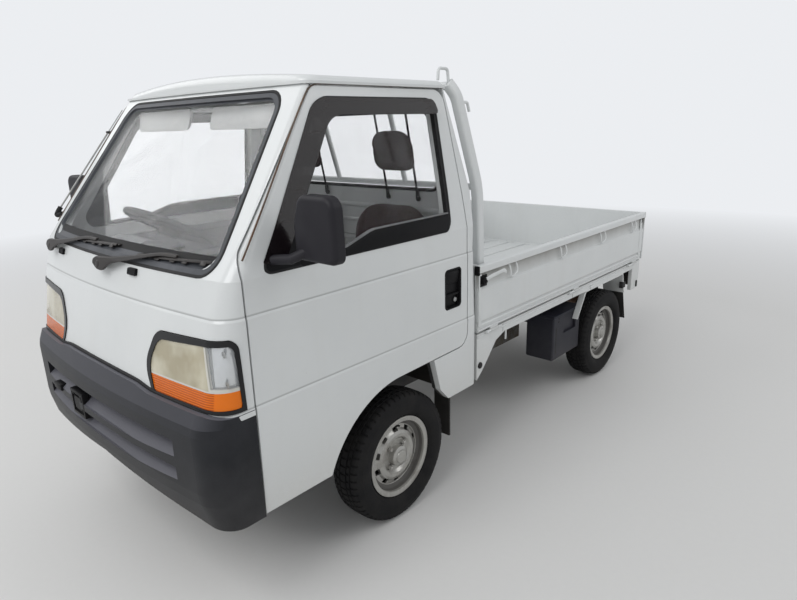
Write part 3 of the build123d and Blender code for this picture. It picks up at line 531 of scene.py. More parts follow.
def bareSteel(name, clean, rusty, share, rough=0.5, metallic=0.8):
    bench = Bench(name)
    patches = bench.noise(11, 5, 0.65)
    fine = bench.noise(160, 4, 0.7)
    rust = bench.spread(patches + fine * 0.4, 0.95 - share, 1.15 - share)
    tone = bench.blend(rust, clean, rusty)
    dust = bench.spread(bench.noise(4, 3), 0.4, 0.75)
    tone = bench.blend(dust * 0.25, tone, paints["dust"])
    return bench.finish(
        Base_Color=tone, Metallic=(1 - rust) * metallic, Roughness=rough + rust * 0.3,
        Normal=bench.relief(fine, 0.3, 0.0005, 0.0015),
    )


def tyreRubber(name):
    bench = Bench(name, Specular_IOR_Level=0.18)
    fine, patches = bench.noise(240, 3, 0.7), bench.noise(12, 4, 0.6)
    tone = bench.blend(bench.spread(patches + fine * 0.3, 0.45, 0.95), (0.007, 0.007, 0.008), (0.022, 0.021, 0.020))
    return bench.finish(
        Base_Color=tone, Roughness=0.62 + patches * 0.25, Normal=bench.relief(fine, 0.4, 0.0004, 0.001)
    )


def wheelPaint(name):
    # bright on the disc and the outer lip; further in, painted shade: nearly black behind the disc and dark in the
    # well, with some dirt
    bench = Bench(name)
    across = bench.across()
    # painted shade: the inner side of the rim, seen through the vents, made nearly black
    inside = bench.spread(across, 0.6215, 0.6180)
    # painted shade, with some dirt, in the well between disc and lip, at either axle
    steps = [bench.maths("ABSOLUTE", bench.along() - aft(at)) for at in (0, truck["wheelbase"])]
    ahead = bench.maths("MINIMUM", *steps)
    rise = bench.height() - truck["tyreRadius"]
    reach = bench.maths("SQRT", ahead * ahead + rise * rise)
    wellShade = bench.spread(reach, 0.1275, 0.1292) * bench.spread(across, 0.6500, 0.6440)
    patches, fine = bench.noise(13, 5, 0.65), bench.noise(190, 4, 0.7)
    stains = bench.spread(patches + fine * 0.35, 0.70, 1.0)
    tone = bench.blend(patches, (0.52, 0.515, 0.49), (0.37, 0.36, 0.335))
    tone = bench.blend(stains * 0.55, tone, (0.10, 0.075, 0.052))
    tone = bench.blend(wellShade * 0.85, tone, (0.045, 0.040, 0.036))
    tone = bench.blend(inside, tone, (0.010, 0.009, 0.009))
    return bench.finish(
        Base_Color=tone, Metallic=(1 - inside) * (1 - wellShade * 0.7) * (0.75 - stains * 0.45),
        Roughness=0.30 + stains * 0.3 + inside * 0.35 + wellShade * 0.25,
        Normal=bench.relief(fine, 0.25, 0.0004, 0.0015),
    )


def wovenCloth(name, dark, pale):
    bench = Bench(name, Sheen_Weight=0.08, Sheen_Roughness=0.5)
    spot = bench.place()
    bands = [
        bench.add("ShaderNodeTexWave", {"bands_direction": way}, {"Vector": spot, "Scale": 190.0, "Distortion": 0.6})
        for way in ("X", "Z", "Y")
    ]
    weave = (bands[0] + bands[1] + bands[2]) * 0.333
    patches = bench.noise(18, 4, 0.6)
    tone = bench.blend(weave * 0.55 + patches * 0.45, dark, pale)
    return bench.finish(Base_Color=tone, Roughness=0.85 + patches * 0.1, Normal=bench.relief(weave, 0.45, 0.0006))


def lampLens(name):
    # yellowed head lamp inboard, clear side lamp outboard, a pale opaque frame between and under them
    bench = Bench(name, IOR=1.49, Coat_Weight=0.7, Coat_Roughness=0.06)
    across, up = bench.across(), bench.height()
    split = lampSplit(up)
    outer = bench.spread(across - split, 0.003, 0.0042)
    inner = bench.spread(split - across, 0.003, 0.0042) * bench.spread(up, 0.8385, 0.8397)
    outer = outer * bench.spread(up, 0.8450, 0.8462)
    haze = bench.noise(11, 4, 0.6, (1, 1, 0.45))
    glow = bench.spread(bench.noise(7, 3, 0.5), 0.40, 0.66)
    cream = bench.blend(glow, (0.50, 0.445, 0.305), (0.80, 0.755, 0.60))
    tone = bench.blend(inner, (0.60, 0.585, 0.53), cream)
    tone = bench.blend(outer, tone, (0.72, 0.75, 0.77))
    ribs = bench.add("ShaderNodeTexWave", {"bands_direction": "X"}, {"Vector": bench.place(), "Scale": 42.0})
    low = bench.spread(up, 0.905, 0.900) * outer
    relief = haze * 0.3 + ribs * low
    return bench.finish(
        Base_Color=tone, Roughness=0.12 + haze * 0.10, Alpha=0.96 - inner * (0.42 - haze * 0.30) - outer * 0.72,
        Normal=bench.relief(relief, 0.5, 0.0012),
    )


def amberLens(name, tint, deep, scale, alpha, edge):
    bench = Bench(name, IOR=1.49, Specular_IOR_Level=0.35, Coat_Weight=0.10, Coat_Roughness=0.06)
    haze = bench.noise(16, 4, 0.6)
    ribs = bench.add("ShaderNodeTexWave", {"bands_direction": "Z"}, {"Vector": bench.place(), "Scale": scale})
    ribbed = ribs * bench.spread(bench.across(), edge + 0.004, edge)
    tone = bench.blend(ribbed * 0.75 + haze * 0.25, tint, deep)
    return bench.finish(
        Base_Color=tone, Roughness=0.14 + haze * 0.08, Alpha=alpha + haze * 0.06,
        Normal=bench.relief(ribbed + haze * 0.1, 0.55, 0.0015),
    )


def mirrorSilver(name):
    bench = Bench(name)
    haze = bench.noise(9, 3)
    tone = bench.blend(haze, (0.86, 0.87, 0.88), (0.78, 0.78, 0.76))
    return bench.finish(Base_Color=tone, Metallic=1.0, Roughness=0.05 + haze * 0.06)


looks = {
    # body and doors: a painted shade line above each crease
    "body": paintedSteel("bodyPaint", 0.15, coated=1.0, creases=[0.763, 1.044]),
    "door": paintedSteel("doorPaint", 0.15, creases=[0.763, 1.044]),
    "bed": paintedSteel("bedPaint", 0.65),
    # the gate's bands: dirt and painted shade under the top rail and along the lower folds
    "gate": paintedSteel("gatePaint", 0.65, [(0.855, 0.938, 0.85), (0.700, 0.716, 0.30), (0.640, 0.668, 0.40)]),
    "fitting": paintedSteel("fittingPaint", 0.35),
    "screen": clearGlass("screenGlass", (0.93, 0.97, 0.96), 0.13),
    "sideGlass": clearGlass("sideGlass", (0.90, 0.95, 0.93), 0.03),
    "smoked": smokedAcrylic("smokedAcrylic", (0.007, 0.005, 0.006), 0.90),
    # the bumper's upward faces get a painted highlight
    "bumper": mouldedPlastic(
        "bumperPlastic", (0.009, 0.010, 0.013), (0.030, 0.031, 0.037), 0.44, 520, 0.0006, 0.5, paintedTopHighlight=0.80,
        paintedHighlightTone=(0.130, 0.130, 0.150),
    ),
    "satin": mouldedPlastic(
        "satinBlack", (0.005, 0.005, 0.006), (0.018, 0.017, 0.017), 0.40, 700, 0.0002, 0.3, shine=0.12
    ),
    "wheel": wheelPaint("wheelSilver"),
    "tyre": tyreRubber("tyreRubber"),
    "cloth": wovenCloth("seatCloth", (0.018, 0.0105, 0.0115), (0.068, 0.041, 0.042)),
    "clear": lampLens("lampPlastic"),
    "amber": amberLens("amberPlastic", (0.84, 0.190, 0.002), (0.42, 0.060, 0.001), 45.0, 0.94, 0.655),
    "red": amberLens("redPlastic", (0.42, 0.008, 0.008), (0.22, 0.004, 0.004), 60.0, 0.96, 0.70),
    "silver": mirrorSilver("reflectorSilver"),
}
# name, dark and pale tone, roughness, scale and depth of the grain, how far it has gone pale
plastics = {
    "gloss": ("glossBlack", (0.010, 0.010, 0.011), (0.03, 0.03, 0.03), 0.20, 300, 0.0001, 0.2),
    "mirrorShell": ("mirrorPlastic", (0.013, 0.012, 0.016), (0.040, 0.039, 0.045), 0.5, 800, 0.0004, 0.5),
    "wiper": ("wiperPaint", (0.020, 0.017, 0.016), (0.050, 0.044, 0.040), 0.36, 500, 0.0002, 0.5),
    # painted sheen: the seal's rubber face made blue-grey for the sky it reflects
    "sealSheen": ("sealFace", (0.060, 0.064, 0.072), (0.13, 0.135, 0.15), 0.48, 260, 0.0002, 0.6),
    "greyRubber": ("beltRubber", (0.14, 0.145, 0.15), (0.30, 0.30, 0.30), 0.5, 400, 0.0002, 0.5),
    "rubber": ("sealRubber", (0.011, 0.011, 0.012), (0.036, 0.035, 0.033), 0.6, 400, 0.0002, 0.5),
    "box": ("boxPlastic", (0.009, 0.010, 0.020), (0.030, 0.031, 0.042), 0.5, 500, 0.0003, 0.4),
    "trim": ("cabinPlastic", (0.15, 0.155, 0.165), (0.22, 0.225, 0.235), 0.55, 700, 0.0003, 0.5),
    "lining": ("cabinLining", (0.42, 0.425, 0.42), (0.50, 0.50, 0.49), 0.7, 260, 0.0004, 0.5),
    "darkTrim": ("cabinDark", (0.022, 0.022, 0.025), (0.05, 0.05, 0.055), 0.5, 700, 0.0003, 0.4),
    "mat": ("floorMat", (0.02, 0.02, 0.021), (0.07, 0.062, 0.055), 0.8, 220, 0.001, 0.8),
    "pearl": ("pearlPlastic", (0.60, 0.59, 0.55), (0.70, 0.69, 0.66), 0.3, 300, 0.0002, 0.5),
}
# name, clean and rusty tone, share of rust, roughness, metal
metals = {
    # partly painted shade: the drip rod's dark tone also stands for the shadow line along the rail
    "rail": ("dripRail", (0.070, 0.045, 0.030), (0.13, 0.065, 0.035), 0.3, 0.55, 0.1),
    "chassis": ("chassisBlack", (0.013, 0.013, 0.014), (0.060, 0.036, 0.024), 0.14, 0.6, 0.1),
    "engine": ("engineCasting", (0.22, 0.22, 0.21), (0.10, 0.075, 0.055), 0.40, 0.5, 0.7),
    "exhaust": ("exhaustSteel", (0.24, 0.21, 0.19), (0.14, 0.07, 0.035), 0.60, 0.55, 0.8),
    "galvanised": ("galvanisedSteel", (0.40, 0.41, 0.41), (0.20, 0.16, 0.12), 0.20, 0.45, 0.6),
}
for look, row in plastics.items():
    looks[look] = mouldedPlastic(*row)
for look, row in metals.items():
    looks[look] = bareSteel(*row)
# what each look is recoloured with, where that isn't black plastic
nodeLooks = {
    "body": ["cab_front", "cab_back", "cab_sides", "cab_roof"],
    "door": ["door_left", "door_right"],
    "screen": ["windscreen"],
    "sideGlass": ["back_window", "door_glass_left", "door_glass_right"],
    "mirrorShell": ["mirror_left", "mirror_right"],
    "mat": ["cab_floor"],
    "bumper": ["front_bumper"],
    "gloss": ["lamp_housings"],
    "clear": ["lamp_lenses"],
    "amber": ["turn_lenses"],
    "satin": ["wipers"],
    "trim": ["dashboard"],
    "darkTrim": ["steering_wheel"],
    "cloth": ["seat_cushions", "seat_backs", "headrests"],
    "chassis": [
        "chassis_frame", "rear_axle", "front_suspension", "knuckle_left", "knuckle_right", "fuel_tank", "leaf_springs",
        "rear_beam",
    ],
    "engine": ["engine_block"],
    "exhaust": ["exhaust"],
    "wheel": ["rim_front_left", "rim_front_right", "rim_rear_left", "rim_rear_right"],
    "tyre": ["tyre_front_left", "tyre_front_right", "tyre_rear_left", "tyre_rear_right"],
    "bed": ["bed_floor", "bed_headboard", "guard_frame"],
    "gate": ["gate_left", "gate_right", "tailgate", "bed_skirts"],
    "box": ["battery_box"],
    "rubber": ["mud_flaps"],
    "red": ["tail_lamps"],
}
for look, names in nodeLooks.items():
    for name in names:
        nodes[name].data.materials.clear()
        nodes[name].data.materials.append(looks[look])
print("finishes on the frame's own parts")

# Camera, floor and lamps
view = {
    "place": (2.11486, -2.34901, 1.56043), "turn": (73.53368, 1.59145, 42.06715), "lens": 27.0829,
    "shift": (0.00213, 0.00228),
}
clearAll()
bpy.ops.object.camera_add(location=view["place"], rotation=[radians(angle) for angle in view["turn"]])
camera = bpy.context.object
camera.data.sensor_width, camera.data.lens = 36, view["lens"]
camera.data.shift_x, camera.data.shift_y = view["shift"]
camera.data.clip_start = 0.05
bpy.context.scene.camera = camera
bpy.context.scene.view_settings.view_transform = "Standard"

studio = {
    "floorSize": 60, "floorTone": (0.70, 0.695, 0.68), "worldTone": (0.93, 0.95, 0.98), "ambient": 0.60, "back": 0.90,
    # how far out the floor goes over into the background
    "fade": (3.4, 9.0),
    # place, what it looks at, size, power
    "lamps": [
        ((0.8, -5.6, 5.8), (0, -0.9, 0.8), 4.0, 190), ((5.2, 2.6, 5.2), (0.2, 0.6, 0.8), 4.0, 70),
        ((-4.5, -2.5, 4.8), (0, -0.3, 0.9), 4.5, 80),
    ],
}
clearAll()
bpy.ops.mesh.primitive_plane_add(size=studio["floorSize"])
floor = settle("studioFloor")


def floorFinish():
    # the far floor goes over into the plain background for the camera, so that no horizon shows
    bench = Bench("floorTone", Specular_IOR_Level=0.2)
    grain = bench.noise(40, 3, 0.6)
    bench.finish(
        Base_Color=bench.blend(grain, studio["floorTone"], tuple(c * 0.97 for c in studio["floorTone"])),
        Roughness=0.7 + grain * 0.1,
    )
    reach = bench.add("ShaderNodeVectorMath", {"operation": "LENGTH"}, {0: bench.place()}, "Value")
    kinds = ("Is Camera Ray", "Is Glossy Ray", "Is Transmission Ray")
    direct, glossy, clear = [bench.add("ShaderNodeLightPath", {}, {}, kind) for kind in kinds]
    seen = bench.spread(reach, *studio["fade"]) * (direct + glossy + clear)
    glow = bench.add("ShaderNodeEmission", {}, {"Color": (*studio["worldTone"], 1), "Strength": studio["back"]})
    both = bench.add("ShaderNodeMixShader", {}, {0: seen, 1: Line(bench, bench.shader.outputs[0]), 2: glow})
    bench.feed(bench.tree.nodes["Material Output"].inputs["Surface"], both)
    return bench.material


floor.data.materials.append(floorFinish())
for index, (place, aim, size, power) in enumerate(studio["lamps"]):
    clearAll()
    turn = (Vector(aim) - Vector(place)).to_track_quat("-Z", "Y").to_euler()
    bpy.ops.object.light_add(type="AREA", location=place, rotation=turn)
    lamp = bpy.context.object
    lamp.name = "softLamp%d" % index
    lamp.data.size, lamp.data.energy = size, power
world = bpy.data.worlds.new("studioSky")
bpy.context.scene.world = world
world.use_nodes = True
sky = world.node_tree.nodes["Background"]
sky.inputs["Color"].default_value = (*studio["worldTone"], 1)
lightPath = world.node_tree.nodes.new("ShaderNodeLightPath")
seen = world.node_tree.nodes.new("ShaderNodeMapRange")
world.node_tree.links.new(lightPath.outputs["Is Camera Ray"], seen.inputs["Value"])
seen.inputs["To Min"].default_value, seen.inputs["To Max"].default_value = studio["ambient"], studio["back"]
world.node_tree.links.new(seen.outputs[0], sky.inputs["Strength"])
print("camera, floor and lamps")

# Windscreen: black lip of the seal, its wide face made blue-grey as a painted sheen of the sky on the rubber, and the
# dark band along its foot
screenSeal = {
    "corners": [(-0.622, 1.149, 0.075), (-0.530, 1.678, 0.07), (0.530, 1.678, 0.07), (0.622, 1.149, 0.075)],
    "roll": [(0.002, 0.003), (0.005, 0.0), (0.002, -0.0022), (0.014, 0.0), (0.004, -0.010), (0.007, -0.0015)],
    "longest": 0.05, "lipOut": 0.0015,
    "band": [(-0.592, 1.178, 0.03), (-0.586, 1.206, 0.006), (0.586, 1.206, 0.006), (0.592, 1.178, 0.03)],
    "bandEdge": 0.004, "bandSink": 0.0108,
}


def makeScreenSeal():
    seal = plate("windscreenSeal", screenSeal["corners"], "front", screenSeal["longest"])
    insetFaces(seal, everyFace, screenSeal["roll"])
    dropFaces(seal, manySided)
    face = copyOf(seal, "windscreenSealSheenFace")
    dropFaces(seal, lambda bit: bit.calc_center_median().y > -screenSeal["lipOut"])
    dropFaces(face, lambda bit: bit.calc_center_median().y <= -screenSeal["lipOut"])
    band = plate("windscreenBand", screenSeal["band"], "front", screenSeal["longest"])
    insetFaces(band, everyFace, [(screenSeal["bandEdge"], 0)])
    for piece, look, sink in ((seal, "rubber", 0), (face, "sealSheen", 0), (band, "rubber", screenSeal["bandSink"])):
        layOnNose(piece)
        done(shifted(piece, (0, sink, 0)), "chassis", look)


makeScreenSeal()

# Wipers: arm with its wide head, spine, claws and rubber lip, drawn for the driver's far side and copied across
wiper = {
    "arm": [
        (-0.034, 1.136, 0.012), (-0.018, 1.157, 0.012), (0.070, 1.163, 0.02), (0.180, 1.176, 0.04),
        (0.345, 1.2025, 0.03), (0.425, 1.2015, 0.004), (0.425, 1.193, 0.004), (0.345, 1.193, 0.03),
        (0.190, 1.164, 0.04), (0.090, 1.143, 0.02), (0.052, 1.117, 0.008), (0.012, 1.117, 0.012),
    ],
    "spine": [(0.205, 1.1765, 0.003), (0.205, 1.1845, 0.003), (0.580, 1.1975, 0.003), (0.580, 1.1905, 0.003)],
    "lip": [(0.200, 1.1785, 0), (0.200, 1.1815, 0), (0.590, 1.1945, 0), (0.590, 1.1915, 0)],
    # how far each stands off the skin, by its distance across
    "armStand": [(-0.05, 0.030), (0.06, 0.030), (0.20, 0.021), (0.43, 0.014)],
    "spineStand": [(0.19, 0.006), (0.42, 0.010), (0.60, 0.005)], "lipStand": [(0.18, 0.0), (0.66, 0.0)],
    # thickness and rounding
    "armWall": (0.010, 0.0015), "spineWall": (0.005, 0.001), "lipWall": (0.0115, 0.0006), "armBead": 0.003,
    "pivot": (0.012, -0.014, 1.134), "bossRadius": 0.014, "bossDepth": 0.034,
    "claws": [0.240, 0.325, 0.405, 0.465, 0.550], "clawFoot": (0.195, 1.1785), "clawRise": 0.0289,
    "longest": 0.03, "copyShift": -0.537,
}


def standOff(piece, stands):
    for point in piece.data.vertices:
        x = point.co.x
        for (low, first), (high, last) in zip(stands, stands[1:]):
            if x <= high or high == stands[-1][0]:
                share = min(max((x - low) / (high - low), 0), 1)
                point.co.y = -(first + (last - first) * share)
                break


def makeWiper():
    parts = []
    for part in ("arm", "spine", "lip"):
        bar = plate("wiperBar", wiper[part], "front", wiper["longest"])
        if part == "arm":
            insetFaces(bar, everyFace, [(wiper["armBead"], 0.0)])
        standOff(bar, wiper[part + "Stand"])
        wall, edge = wiper[part + "Wall"]
        thicken(bar, wall, -1.0, edge)
        parts.append(bar)
    parts.append(drum("wiperBoss", wiper["pivot"], wiper["bossRadius"], wiper["bossDepth"], "Y", 0.004, 24, 3))
    footX, footZ = wiper["clawFoot"]
    for x in wiper["claws"]:
        z = footZ + (x - footX) * wiper["clawRise"]
        parts.append(block("wiperClaw", (x - 0.012, -0.008, z - 0.006), (x + 0.012, 0.004, z + 0.006), 0.002, 1))
    return joined("wiper", parts)


def placeWipers():
    near = makeWiper()
    far = copyOf(near, "wiperFar", (wiper["copyShift"], 0, 0))
    called(near, "wiperNear")
    for piece in (near, far):
        layOnNose(piece)
        done(piece, "chassis", "wiper")
    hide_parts("wipers")


placeWipers()

# Washer jets: size, places and the press of the opening
nozzle = {"size": (0.052, 0.022, 0.010), "places": [(0.212, 1.130), (-0.420, 1.122)], "jet": (0.003, -0.002)}


def makeJets():
    wide, tall, deep = nozzle["size"]
    for index, (x, z) in enumerate(nozzle["places"]):
        low, high = (x - wide / 2, -deep, z - tall / 2), (x + wide / 2, 0.004, z + tall / 2)
        jet = block("washerJet%d" % index, low, high, 0.004, 3)
        insetFaces(jet, facing("y", -1), [nozzle["jet"]])
        layOnNose(jet)
        done(jet, "chassis", "satin")


makeJets()

# Number plate bracket in the upper slot, left without a plate
bracket = {
    "low": (-0.225, -0.8845, 0.540), "high": (-0.115, -0.858, 0.640),
    "press": [(0.009, 0.0), (0.001, -0.007), (0.012, 0.0), (0.001, 0.005)], "pressed": 0.003,
    "tab": ((-0.410, -0.882, 0.588), (-0.340, -0.837, 0.614)), "screws": [-0.203, -0.137], "screwZ": 0.625,
}


def makeBracket():
    face, = bricks([(bracket["low"], bracket["high"], 0.002, 2)])
    front = facing("y", -1)
    insetFaces(face, lambda side: front(side) and side.calc_area() > bracket["pressed"], bracket["press"])
    screwY = aft(bracket["low"][1]) + 0.0035
    screws = [drum("screw", (x, screwY, bracket["screwZ"]), 0.006, 0.006, "Y", 0.0015, 16) for x in bracket["screws"]]
    tab = bricks([(*bracket["tab"], 0.004, 2)])
    done(joined("plateBracket", [face] + tab + screws), "chassis", "satin")


makeBracket()
print("wipers, jets and bracket")

# Head lamps: reflectors behind the lenses and the lens screws
lampInside = {
    "corner": (0.620, -0.715), "bowl": (0.492, 0.893), "bowlReach": (0.125, 0.072), "shallow": 0.012, "deep": 0.016,
    "sideSink": 0.014, "longest": 0.016, "headGap": 0.001, "sideGap": 0.002,
    "screws": [(0.680, -0.7505, 0.950), (0.688, -0.7545, 0.860)], "screwRadius": 0.0042, "screwDepth": 0.006,
}


def lampLayer(name, keep, sink):
    # the outer skin of the lens, pushed in by what sink says of each place
    layer = bpy.data.objects.new(name, nodes["lamp_lenses"].data.copy())
    bpy.context.scene.collection.objects.link(layer)
    edit(layer)
    bpy.ops.mesh.remove_doubles(threshold=0.00005)

    def unwanted(face):
        outward = face.normal.y < -0.25 or face.normal.x > 0.5
        return face.calc_center_median().x < 0 or not outward or abs(face.normal.z) > 0.6

    pick(layer, "faces", unwanted)
    bpy.ops.mesh.delete(type="FACE")
    bpy.ops.mesh.select_all(action="SELECT")
    while pick(layer, "edges", lambda line: line.calc_length() > lampInside["longest"]):
        bpy.ops.mesh.subdivide(number_cuts=1)
    pick(layer, "faces", lambda face: not keep(face.calc_center_median()))
    bpy.ops.mesh.delete(type="FACE")
    leave()
    turnX, turnY = lampInside["corner"][0], aft(lampInside["corner"][1])
    for point in layer.data.vertices:
        # straight back on the nose, inwards on the side, and round the corner between them
        way = Vector((max(point.co.x - turnX, 0), min(point.co.y - turnY, 0), 0)).normalized()
        point.co -= way * sink(point.co)
    return layer


def makeLampInsides():
    (bowlX, bowlZ), (reachX, reachZ) = lampInside["bowl"], lampInside["bowlReach"]

    def bowl(spot):
        off = ((spot.x - bowlX) / reachX) ** 2 + ((spot.z - bowlZ) / reachZ) ** 2
        return lampInside["shallow"] + lampInside["deep"] * max(0, 1 - off)

    head = lampLayer("headReflector", lambda spot: spot.x < lampSplit(spot.z) - lampInside["headGap"], bowl)
    side = lampLayer(
        "sideReflector", lambda spot: spot.x > lampSplit(spot.z) + lampInside["sideGap"],
        lambda spot: lampInside["sideSink"],
    )
    donePair(head, "headReflector", "chassis", "silver")
    donePair(side, "sideReflector", "chassis", "silver")
    screws = []
    for x, u, z in lampInside["screws"]:
        screw = drum("screw", (x, aft(u), z), lampInside["screwRadius"], lampInside["screwDepth"], "Y", 0.001, 20)
        insetFaces(screw, facing("y", -1), [(0.0015, 0), (0.0008, -0.0015)])
        screws.append(screw)
    donePair(joined("lensScrew", screws), "lensScrews", "chassis", "galvanised")


makeLampInsides()
print("lamp insides")

# Side windows: seal, stepped lower garnish, grey belt strip, mirror sail and smoked visor
sideWindow = {
    "seal": [(-0.616, 1.150, 0.05), (-0.302, 1.654, 0.055), (0.296, 1.654, 0.055), (0.300, 1.150, 0.05)],
    "roll": [(0.002, 0.003), (0.005, 0.0), (0.002, -0.0022), (0.010, 0.0), (0.002, -0.012), (0.004, -0.002)],
    "sail": [
        (-0.608, 1.155, 0.03), (-0.492, 1.340, 0), (-0.470, 1.340, 0), (-0.4525, 1.290, 0.01),
        (-0.4525, 1.155, 0),
    ],
    "beltStrip": [
        (-0.455, 1.173, 0), (-0.290, 1.1765, 0), (-0.265, 1.1795, 0), (-0.152, 1.2130, 0), (-0.125, 1.2172, 0),
        (0.284, 1.2205, 0), (0.284, 1.2265, 0), (-0.127, 1.2232, 0), (-0.154, 1.2190, 0), (-0.267, 1.1855, 0),
        (-0.292, 1.1825, 0), (-0.455, 1.179, 0),
    ],
    "garnish": [
        (-0.462, 1.150, 0), (0.292, 1.150, 0.03), (0.292, 1.221, 0.012), (-0.137, 1.218, 0.03),
        (-0.274, 1.178, 0.03), (-0.462, 1.174, 0),
    ],
    "visor": [
        (-0.598, 1.185, 0.008), (-0.304, 1.650, 0.045), (0.288, 1.650, 0.02), (0.288, 1.596, 0.02),
        (-0.262, 1.596, 0.045), (-0.528, 1.185, 0.008),
    ],
    # thickness of each, and the steps in and up that bead it
    "garnishWall": 0.012, "garnishBead": [(0.003, 0.003), (0.004, 0.001)], "stripWall": 0.014, "stripEdge": 0.001,
    "sailWall": 0.004, "sailBead": [(0.002, 0.0015), (0.006, 0.0)], "visorWall": 0.003,
    # the visor's free edge stands off the glass, over this width at its top and its front
    "visorLift": 0.003, "visorStand": 0.018, "visorTop": (1.650, 0.054), "visorFront": (-0.598, 1.185, 0.632, 0.070),
    "longest": 0.08, "visorLongest": 0.06,
}


def makeSideWindows():
    seal, garnish, strip, sail = [
        sidePlate(part, sideWindow[part], sideWindow["longest"]) for part in ("seal", "garnish", "beltStrip", "sail")
    ]
    insetFaces(seal, everyFace, sideWindow["roll"])
    dropFaces(seal, manySided)
    insetFaces(garnish, everyFace, sideWindow["garnishBead"])
    insetFaces(sail, everyFace, sideWindow["sailBead"])
    for piece in (seal, garnish, strip, sail):
        layOnSide(piece)
    thicken(garnish, sideWindow["garnishWall"])
    thicken(strip, sideWindow["stripWall"], -0.4, sideWindow["stripEdge"])
    thicken(sail, sideWindow["sailWall"])
    visor = sidePlate("visor", sideWindow["visor"], sideWindow["visorLongest"])
    layOnSide(visor)
    top, topWide = sideWindow["visorTop"]
    frontU, frontZ, lean, frontWide = sideWindow["visorFront"]
    for point in visor.data.vertices:
        fromTop = (top - point.co.z) / topWide
        fromFront = (point.co.y - aft(frontU) - (point.co.z - frontZ) * lean) / frontWide
        share = min(max(min(fromTop, fromFront), 0), 1)
        point.co.x += sideWindow["visorLift"] + sideWindow["visorStand"] * share
    thicken(visor, sideWindow["visorWall"])
    donePair(seal, "windowSeal", "door", "rubber")
    donePair(garnish, "windowGarnish", "door", "satin")
    donePair(strip, "beltStrip", "door", "greyRubber")
    donePair(sail, "mirrorSail", "door", "satin")
    donePair(visor, "windowVisor", "door", "smoked")


makeSideWindows()

# Back window: a dark rubber round it, inside and outside, leaning with the wall
backSeal = {
    "corners": [(-0.509, 1.276, 0.05), (-0.509, 1.619, 0.05), (0.509, 1.619, 0.05), (0.509, 1.276, 0.05)],
    "roll": [(0.003, 0.004), (0.008, 0.0), (0.003, -0.003), (0.0005, -0.007)],
    "inner": 0.460, "outer": 0.478, "lean": 0.22, "leanFrom": 1.29, "longest": 0.3,
}


def makeBackWindowSeal():
    for title, wall in (("backWindowSealIn", "inner"), ("backWindowSeal", "outer")):
        ring = plate(title, backSeal["corners"], "front", backSeal["longest"])
        if wall == "outer":
            flip(ring)
        insetFaces(ring, everyFace, backSeal["roll"])
        dropFaces(ring, manySided)
        for point in ring.data.vertices:
            point.co.y += aft(backSeal[wall] - backSeal["lean"] * max(point.co.z - backSeal["leanFrom"], 0))
        done(ring, "chassis", "rubber")


makeBackWindowSeal()
print("window trim")

# Door handle: frame round the recess, flap, bar, rib and key lock
handle = {
    "frame": [(0.249, 0.830, 0.018), (0.249, 0.999, 0.018), (0.358, 0.999, 0.018), (0.358, 0.830, 0.018)],
    "frameRoll": [(0.0015, 0.002), (0.005, 0.0005), (0.002, -0.004), (0.0005, -0.0115)],
    "flap": [(0.260, 0.932, 0.004), (0.260, 0.989, 0.013), (0.348, 0.989, 0.013), (0.348, 0.932, 0.004)],
    "flapBead": [(0.0015, 0.0015), (0.0015, 0.0005)], "flapWall": 0.004,
    # flush at the height of its upper edge, and how fast it sinks into the hollow below that
    "flapTop": 0.975, "flapSink": 0.004, "flapTilt": 0.16,
    "bar": ((-0.012, 0.261, 0.884), (-0.0025, 0.347, 0.894), 0.0035, 3), "barDip": 0.005,
    "rib": ((-0.0115, 0.3395, 0.8380), (-0.0060, 0.3435, 0.890), 0.001, 1),
    "lock": (-0.0105, 0.328, 0.862), "lockRadius": 0.0095, "lockDepth": 0.007,
    "slot": ((-0.0072, 0.3268, 0.857), (-0.0062, 0.3292, 0.867), 0.0003, 1),
}


def makeHandles():
    frameRing = sidePlate("handleFrame", handle["frame"])
    insetFaces(frameRing, everyFace, handle["frameRoll"])
    flap = sidePlate("handleFlap", handle["flap"])
    insetFaces(flap, everyFace, handle["flapBead"])
    grip, rib = bricks([handle["bar"], handle["rib"]])
    front, rear = handle["bar"][0][1], handle["bar"][1][1]
    for point in grip.data.vertices:
        # dipping in its middle
        off = abs(point.co.y - aft((front + rear) / 2)) / ((rear - front) / 2)
        point.co.z -= handle["barDip"] * (1 - off)
    for piece in (frameRing, flap, grip, rib):
        layOnSide(piece)
    thicken(flap, handle["flapWall"])
    for point in flap.data.vertices:
        point.co.x -= handle["flapSink"] + max(handle["flapTop"] - point.co.z, 0) * handle["flapTilt"]
    donePair(joined("handle", [frameRing, flap, grip, rib]), "handle", "door", "satin")
    x, u, z = handle["lock"]
    lock = drum("lock", (x, aft(u), z), handle["lockRadius"], handle["lockDepth"], "X", 0.0015, 24)
    lock = joined("lock", [lock] + bricks([handle["slot"]]))
    layOnSide(lock)
    donePair(lock, "keyLock", "door", "galvanised")


makeHandles()

# Drip moulding along the pillar and the roof: a dark rust-brown rod that is partly painted shade, the shadow line
# under the rail and in the door gap
moulding = {
    "path": [(-0.664, 1.206), (-0.600, 1.292), (-0.345, 1.650), (-0.305, 1.6875), (-0.250, 1.692), (0.36, 1.692)],
    "stand": 0.001, "radius": 0.0028,
}


def makeMoulding():
    path = [(sideX(z) + moulding["stand"], aft(u), z) for u, z in moulding["path"]]
    donePair(bentRod("rod", path, moulding["radius"], 2), "dripMoulding", "chassis", "rail")


makeMoulding()

# Rubber between bumper and cab, from side to side; the black rod also stands as painted shade for the shadow in the
# gap there
bumperSealAndGapShade = {
    "nose": [(0.0, 0.793), (0.15, 0.792), (0.27, 0.789), (0.31, 0.783), (0.35, 0.776), (0.45, 0.775), (0.60, 0.773)],
    "corner": (0.640, -0.799, 0.770), "stand": 0.001, "radius": 0.0062,
}


